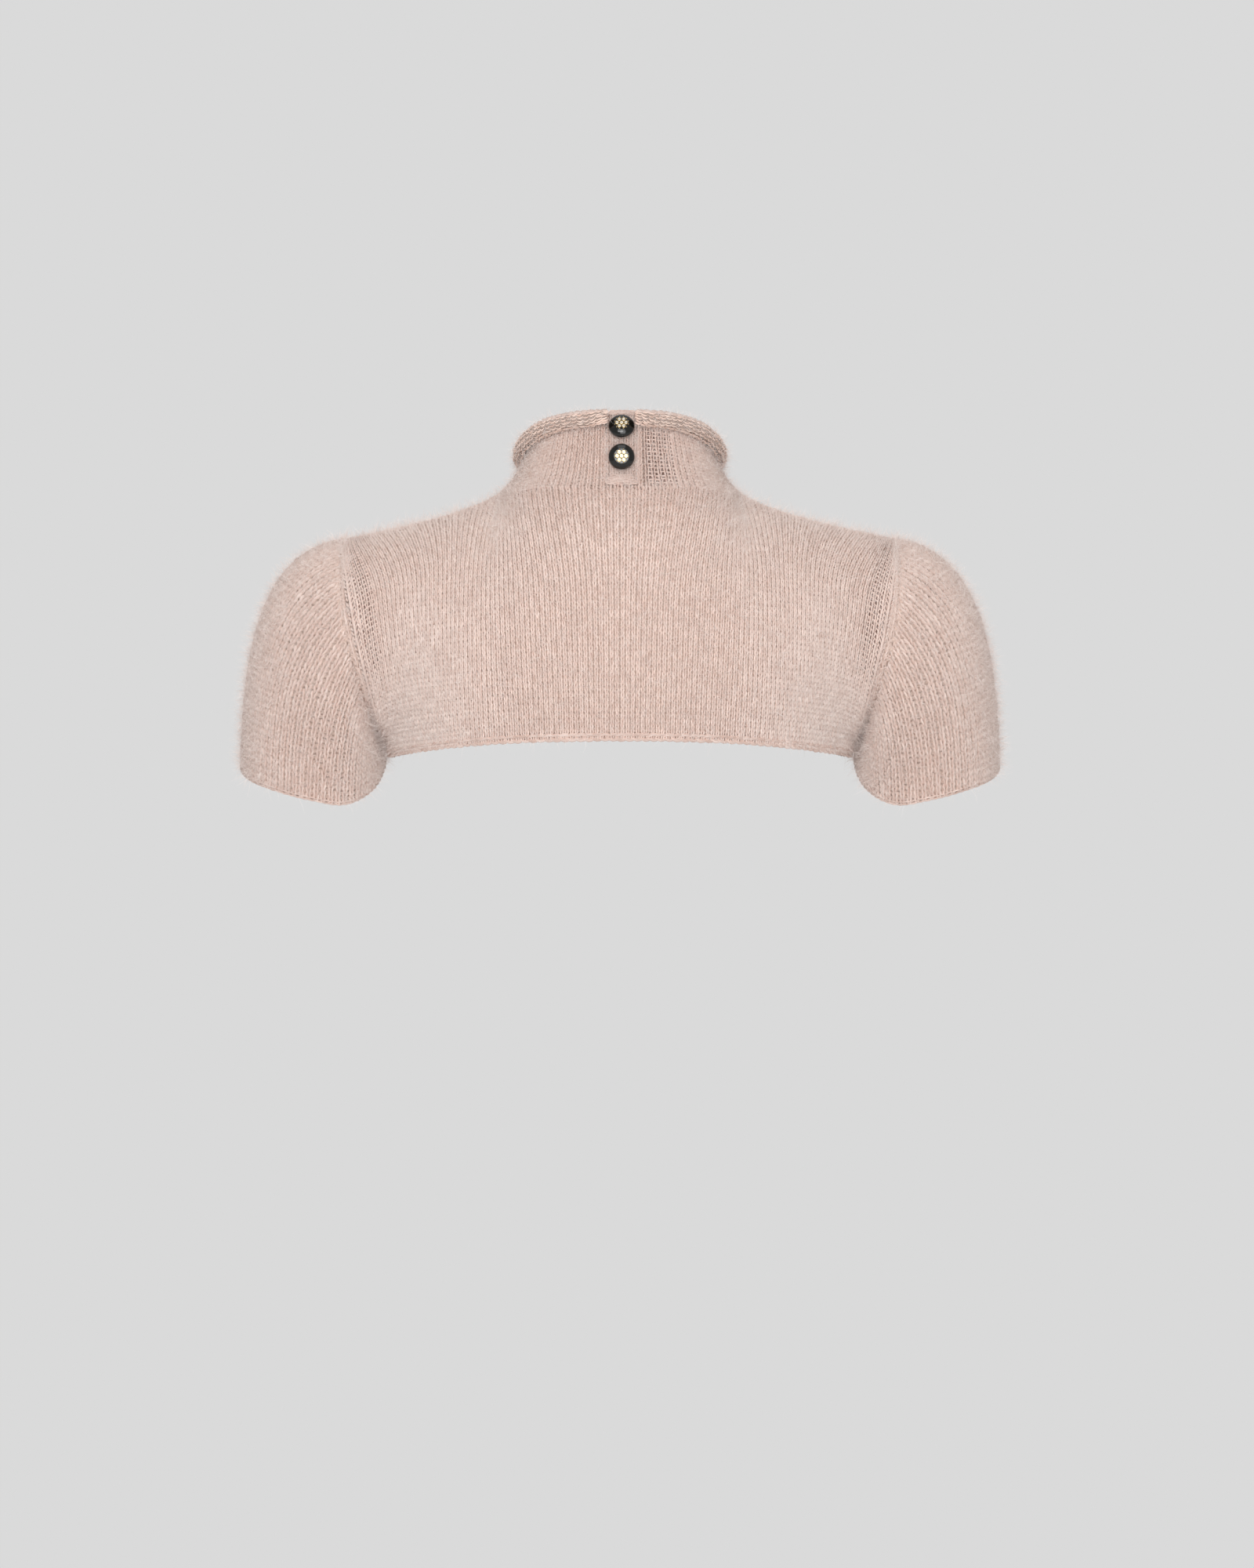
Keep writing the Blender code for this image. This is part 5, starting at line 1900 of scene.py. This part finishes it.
        # Painted shade where the knit beside the slit is open
        tone = usual + (1 - GROUND_TONE) * BESIDE_SLIT.openness(u * wales, v)
        stitch = np.stack([u * wales, v * self.COLLAR_MAP_ROWS], axis=-1)
        weave = cloth(skin, u, v, np.full_like(u, CLOTH_DEPTH), tone, stitch, closed=False)
        base = make_object("collar_cloth", weave, self.ground)
        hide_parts("collar")
        levels = (np.arange(STAND_ROWS) + 0.5) / STAND_ROWS
        openness = BESIDE_SLIT.openness(*np.meshgrid(np.arange(wales) + 0.5, levels, indexing="ij"))
        stitches = join([
            self.knitter.legs(stand, self.STAND_GAUGE, openness),
            self.knitter.ties(stand, openness),
        ])
        legs = make_object("collar_stitches", stitches, self.strand)
        roll = plain_lattice(RollSkin(), wales, ROLL_ROWS, RollSkin.limits[1])
        bumps = self.knitter.bumps(roll, self.ROLL_RELIEF)
        reverse = make_object("collar_roll_stitches", bumps, REVERSE.make())
        links = self.knitter.chain(RIM_EDGE.on(roll), RIM_CHAIN)
        rim = make_object("collar_rim_chain", links, self.strand)
        on_roll = replace(hair, count=self.ROLL_FIBRES, stand=self.ROLL_STAND)
        grown = join([self.fuzz.grow(stand, hair), self.fuzz.grow(roll, on_roll)])
        fibres = make_object("collar_fibres", grown, self.fibre)
        self.declare(base, "collar")

    def placket(self, hair: Hair) -> None:
        """The button placket with its close knit and the bars across its foot and top."""
        skin = PlacketSkin()
        foot = float(placket_line()[0][0]) + SEAM_GAP
        lattice = plain_lattice(skin, PLACKET_WALES, PLACKET_ROWS, (foot, PLACKET_TOP_Z + PLACKET_OVER))
        columns, levels = self.PLACKET_GRID
        x = np.linspace(-PLACKET_HALF_WIDTH, PLACKET_HALF_WIDTH, columns)
        u, v = np.meshgrid(x, np.linspace(foot, PLACKET_TOP_Z, levels))
        depth, tone = np.full_like(u, CLOTH_DEPTH + PLACKET_RISE), np.full_like(u, GROUND_TONE)
        width, height = self.PLACKET_MAP_STITCH
        stitch = np.stack([u / width, (v - foot) / height], axis=-1)
        weave = cloth(skin, u, v, depth, tone, stitch, closed=False)
        base = make_object("placket_cloth", weave, self.ground)
        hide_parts("button_placket")
        stitches = self.knitter.legs(lattice, self.PLACKET_GAUGE, np.zeros(lattice.alive.shape))
        legs = make_object("placket_stitches", stitches, self.strand)
        bars = [
            self.knitter.chain(self.across(skin, end, bar), BAR_CHAIN)
            for end, group in ((foot, FOOT_BARS), (PLACKET_TOP_Z, TOP_BARS))
            for bar in group
        ]
        chains = make_object("placket_foot_bars", join(bars), self.strand)
        fibres = make_object("placket_fibres", self.fuzz.grow(lattice, hair), self.fibre)
        self.declare(base, "placket")

    @staticmethod
    def across(skin: PlacketSkin, end: float, bar: Bar) -> Spot:
        """Points of a bar across the placket, at a height over its foot or its top."""
        x = np.linspace(-bar.half_length, bar.half_length, BAR_SAMPLES)
        return skin.spot(x, end + bar.height + bar.bow * (x / BAR_BOW_WIDTH) ** 2)

    def buttons(self) -> None:
        """Both buttons with their settings and stones."""
        gloss, gold, stone = GLOSS.make(), GOLD.make(), STONE.make()
        for name in BUTTON_TILTS:
            button = Button(name)
            body = make_object(f"{name}_dome", button.body(), gloss)
            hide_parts(name)
            setting = make_object(f"{name}_setting", button.setting(), gold)
            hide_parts(f"{name}_rosette")
            gems = make_object(f"{name}_stones", button.gems(), stone)
            gems.data.polygons.foreach_set("use_smooth", np.zeros(len(gems.data.polygons), dtype=bool))

    def declare(
        self, base: bpy.types.Object, cut: str
    ) -> None:
        """Log a panel's cloth area beside the area of its flat cut."""
        size = self.CUTS[cut]
        areas = np.empty(len(base.data.polygons), dtype=np.float32)
        base.data.polygons.foreach_get("area", areas)
        LOG.info("%s: cloth area %.4f square metres, cut %.4f", base.name, areas.sum() / 2, size.area)


# Studio


@dataclass(frozen=True)
class Lamp:
    """A soft square light: its name, place and side in metres, and power in watts."""

    name: str
    place: tuple[float, float, float]
    size: float
    power: float

    # The point that the lights look at
    AIM: ClassVar[tuple[float, float, float]] = (0.0, 0.0, -0.08)

    def hang(self) -> None:
        """Add the light to the scene."""
        data = bpy.data.lights.new(self.name, "AREA")
        data.size = self.size
        data.energy = self.power
        obj = bpy.data.objects.new(self.name, data)
        bpy.context.scene.collection.objects.link(obj)
        obj.location = self.place
        aim = np.array(self.AIM) - np.array(self.place)
        obj.rotation_mode = "XYZ"
        flat = math.hypot(aim[0], aim[1])
        obj.rotation_euler = (math.atan2(flat, -aim[2]), 0.0, math.atan2(aim[1], aim[0]) - math.pi / 2)


class Studio:
    """Backdrop, lights and camera, in metres, but for the camera's sensor in millimetres."""

    LAMPS = (
        Lamp("key", (-0.35, -2.9, 0.9), 1.6, 42.0),
        Lamp("fill", (0.4, -2.9, -0.1), 1.6, 22.0),
        Lamp("top", (0.0, -0.4, 2.2), 1.4, 7.0),
    )

    CAMERA_DISTANCE = 3.5
    CENTRE_X = 0.0042
    CENTRE_Z = -0.1645
    FIELD_HEIGHT = 0.94
    SENSOR_HEIGHT = 24.0
    CLIP_END = 20.0

    # The sweep: half its width, where its floor starts and bends, the bend, and the wall's top
    SWEEP_HALF_WIDTH = 7.0
    FLOOR_START_Y = -6.0
    FLOOR_END_Y = 2.2
    FLOOR_Z = -2.4
    BEND_RADIUS = 0.8
    BEND_START = 0.2
    BEND_POINTS = 8
    WALL_TOP_Z = 5.0
    SWEEP_COLOR = (0.701, 0.701, 0.701, 1.0)

    AIR_COLOR = (1.0, 0.995, 0.99, 1.0)
    AIR_STRENGTH = 0.40

    def build(self) -> None:
        """Make the stage, the lights and the camera."""
        self.backdrop()
        for lamp in self.LAMPS:
            lamp.hang()
        self.world()
        self.camera()

    def backdrop(self) -> None:
        """A pale sweep of floor and wall, evenly bright."""
        bend_z = self.FLOOR_Z + self.BEND_RADIUS
        profile = [(self.FLOOR_START_Y, self.FLOOR_Z), (self.FLOOR_END_Y, self.FLOOR_Z)]
        for angle in np.linspace(self.BEND_START, math.pi / 2, self.BEND_POINTS):
            y = self.FLOOR_END_Y + self.BEND_RADIUS * math.sin(angle)
            profile.append((y, bend_z - self.BEND_RADIUS * math.cos(angle)))
        profile.append((self.FLOOR_END_Y + self.BEND_RADIUS, self.WALL_TOP_Z))
        sides = (-self.SWEEP_HALF_WIDTH, self.SWEEP_HALF_WIDTH)
        points = [(x, y, z) for y, z in profile for x in sides]
        mesh = bpy.data.meshes.new("backdrop")
        mesh.from_pydata(points, [], grid_faces(len(profile), 2, closed=False).tolist())
        mesh.update()
        mat = bpy.data.materials.new("pale_sweep")
        mat.use_nodes = True
        nodes, links = mat.node_tree.nodes, mat.node_tree.links
        glow = nodes.new("ShaderNodeEmission")
        glow.inputs["Color"].default_value = self.SWEEP_COLOR
        links.new(glow.outputs[0], nodes["Material Output"].inputs["Surface"])
        mesh.materials.append(mat)
        obj = bpy.data.objects.new("backdrop", mesh)
        bpy.context.scene.collection.objects.link(obj)

    def world(self) -> None:
        """Even pale light from all round."""
        world = bpy.data.worlds.new("studio")
        world.use_nodes = True
        back = world.node_tree.nodes["Background"]
        back.inputs["Color"].default_value = self.AIR_COLOR
        back.inputs["Strength"].default_value = self.AIR_STRENGTH
        bpy.context.scene.world = world

    def camera(self) -> None:
        """A level long lens straight behind the garment."""
        data = bpy.data.cameras.new("camera")
        data.sensor_fit = "VERTICAL"
        data.sensor_height = self.SENSOR_HEIGHT
        data.lens = self.SENSOR_HEIGHT * self.CAMERA_DISTANCE / self.FIELD_HEIGHT
        data.clip_end = self.CLIP_END
        obj = bpy.data.objects.new("camera", data)
        bpy.context.scene.collection.objects.link(obj)
        obj.location = (self.CENTRE_X, -self.CAMERA_DISTANCE, self.CENTRE_Z)
        obj.rotation_euler = (math.pi / 2, 0.0, 0.0)
        bpy.context.scene.camera = obj
        bpy.context.scene.view_settings.view_transform = "Standard"


def main() -> None:
    """Build the garment and its studio."""
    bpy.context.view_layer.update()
    garment = Garment()
    garment.panel(BACK, wales=114, hair=Hair(count=46000))
    garment.panel(FRONT, wales=100, hair=Hair(count=18000))
    for side in Side:
        garment.sleeve(side, Hair(count=27000))
    garment.collar(Hair(count=10000, length=5.0, longest=10.0))
    garment.placket(Hair(count=3000, length=3.6, longest=6.0))
    garment.buttons()
    Studio().build()


if __name__ == "__main__":
    main()
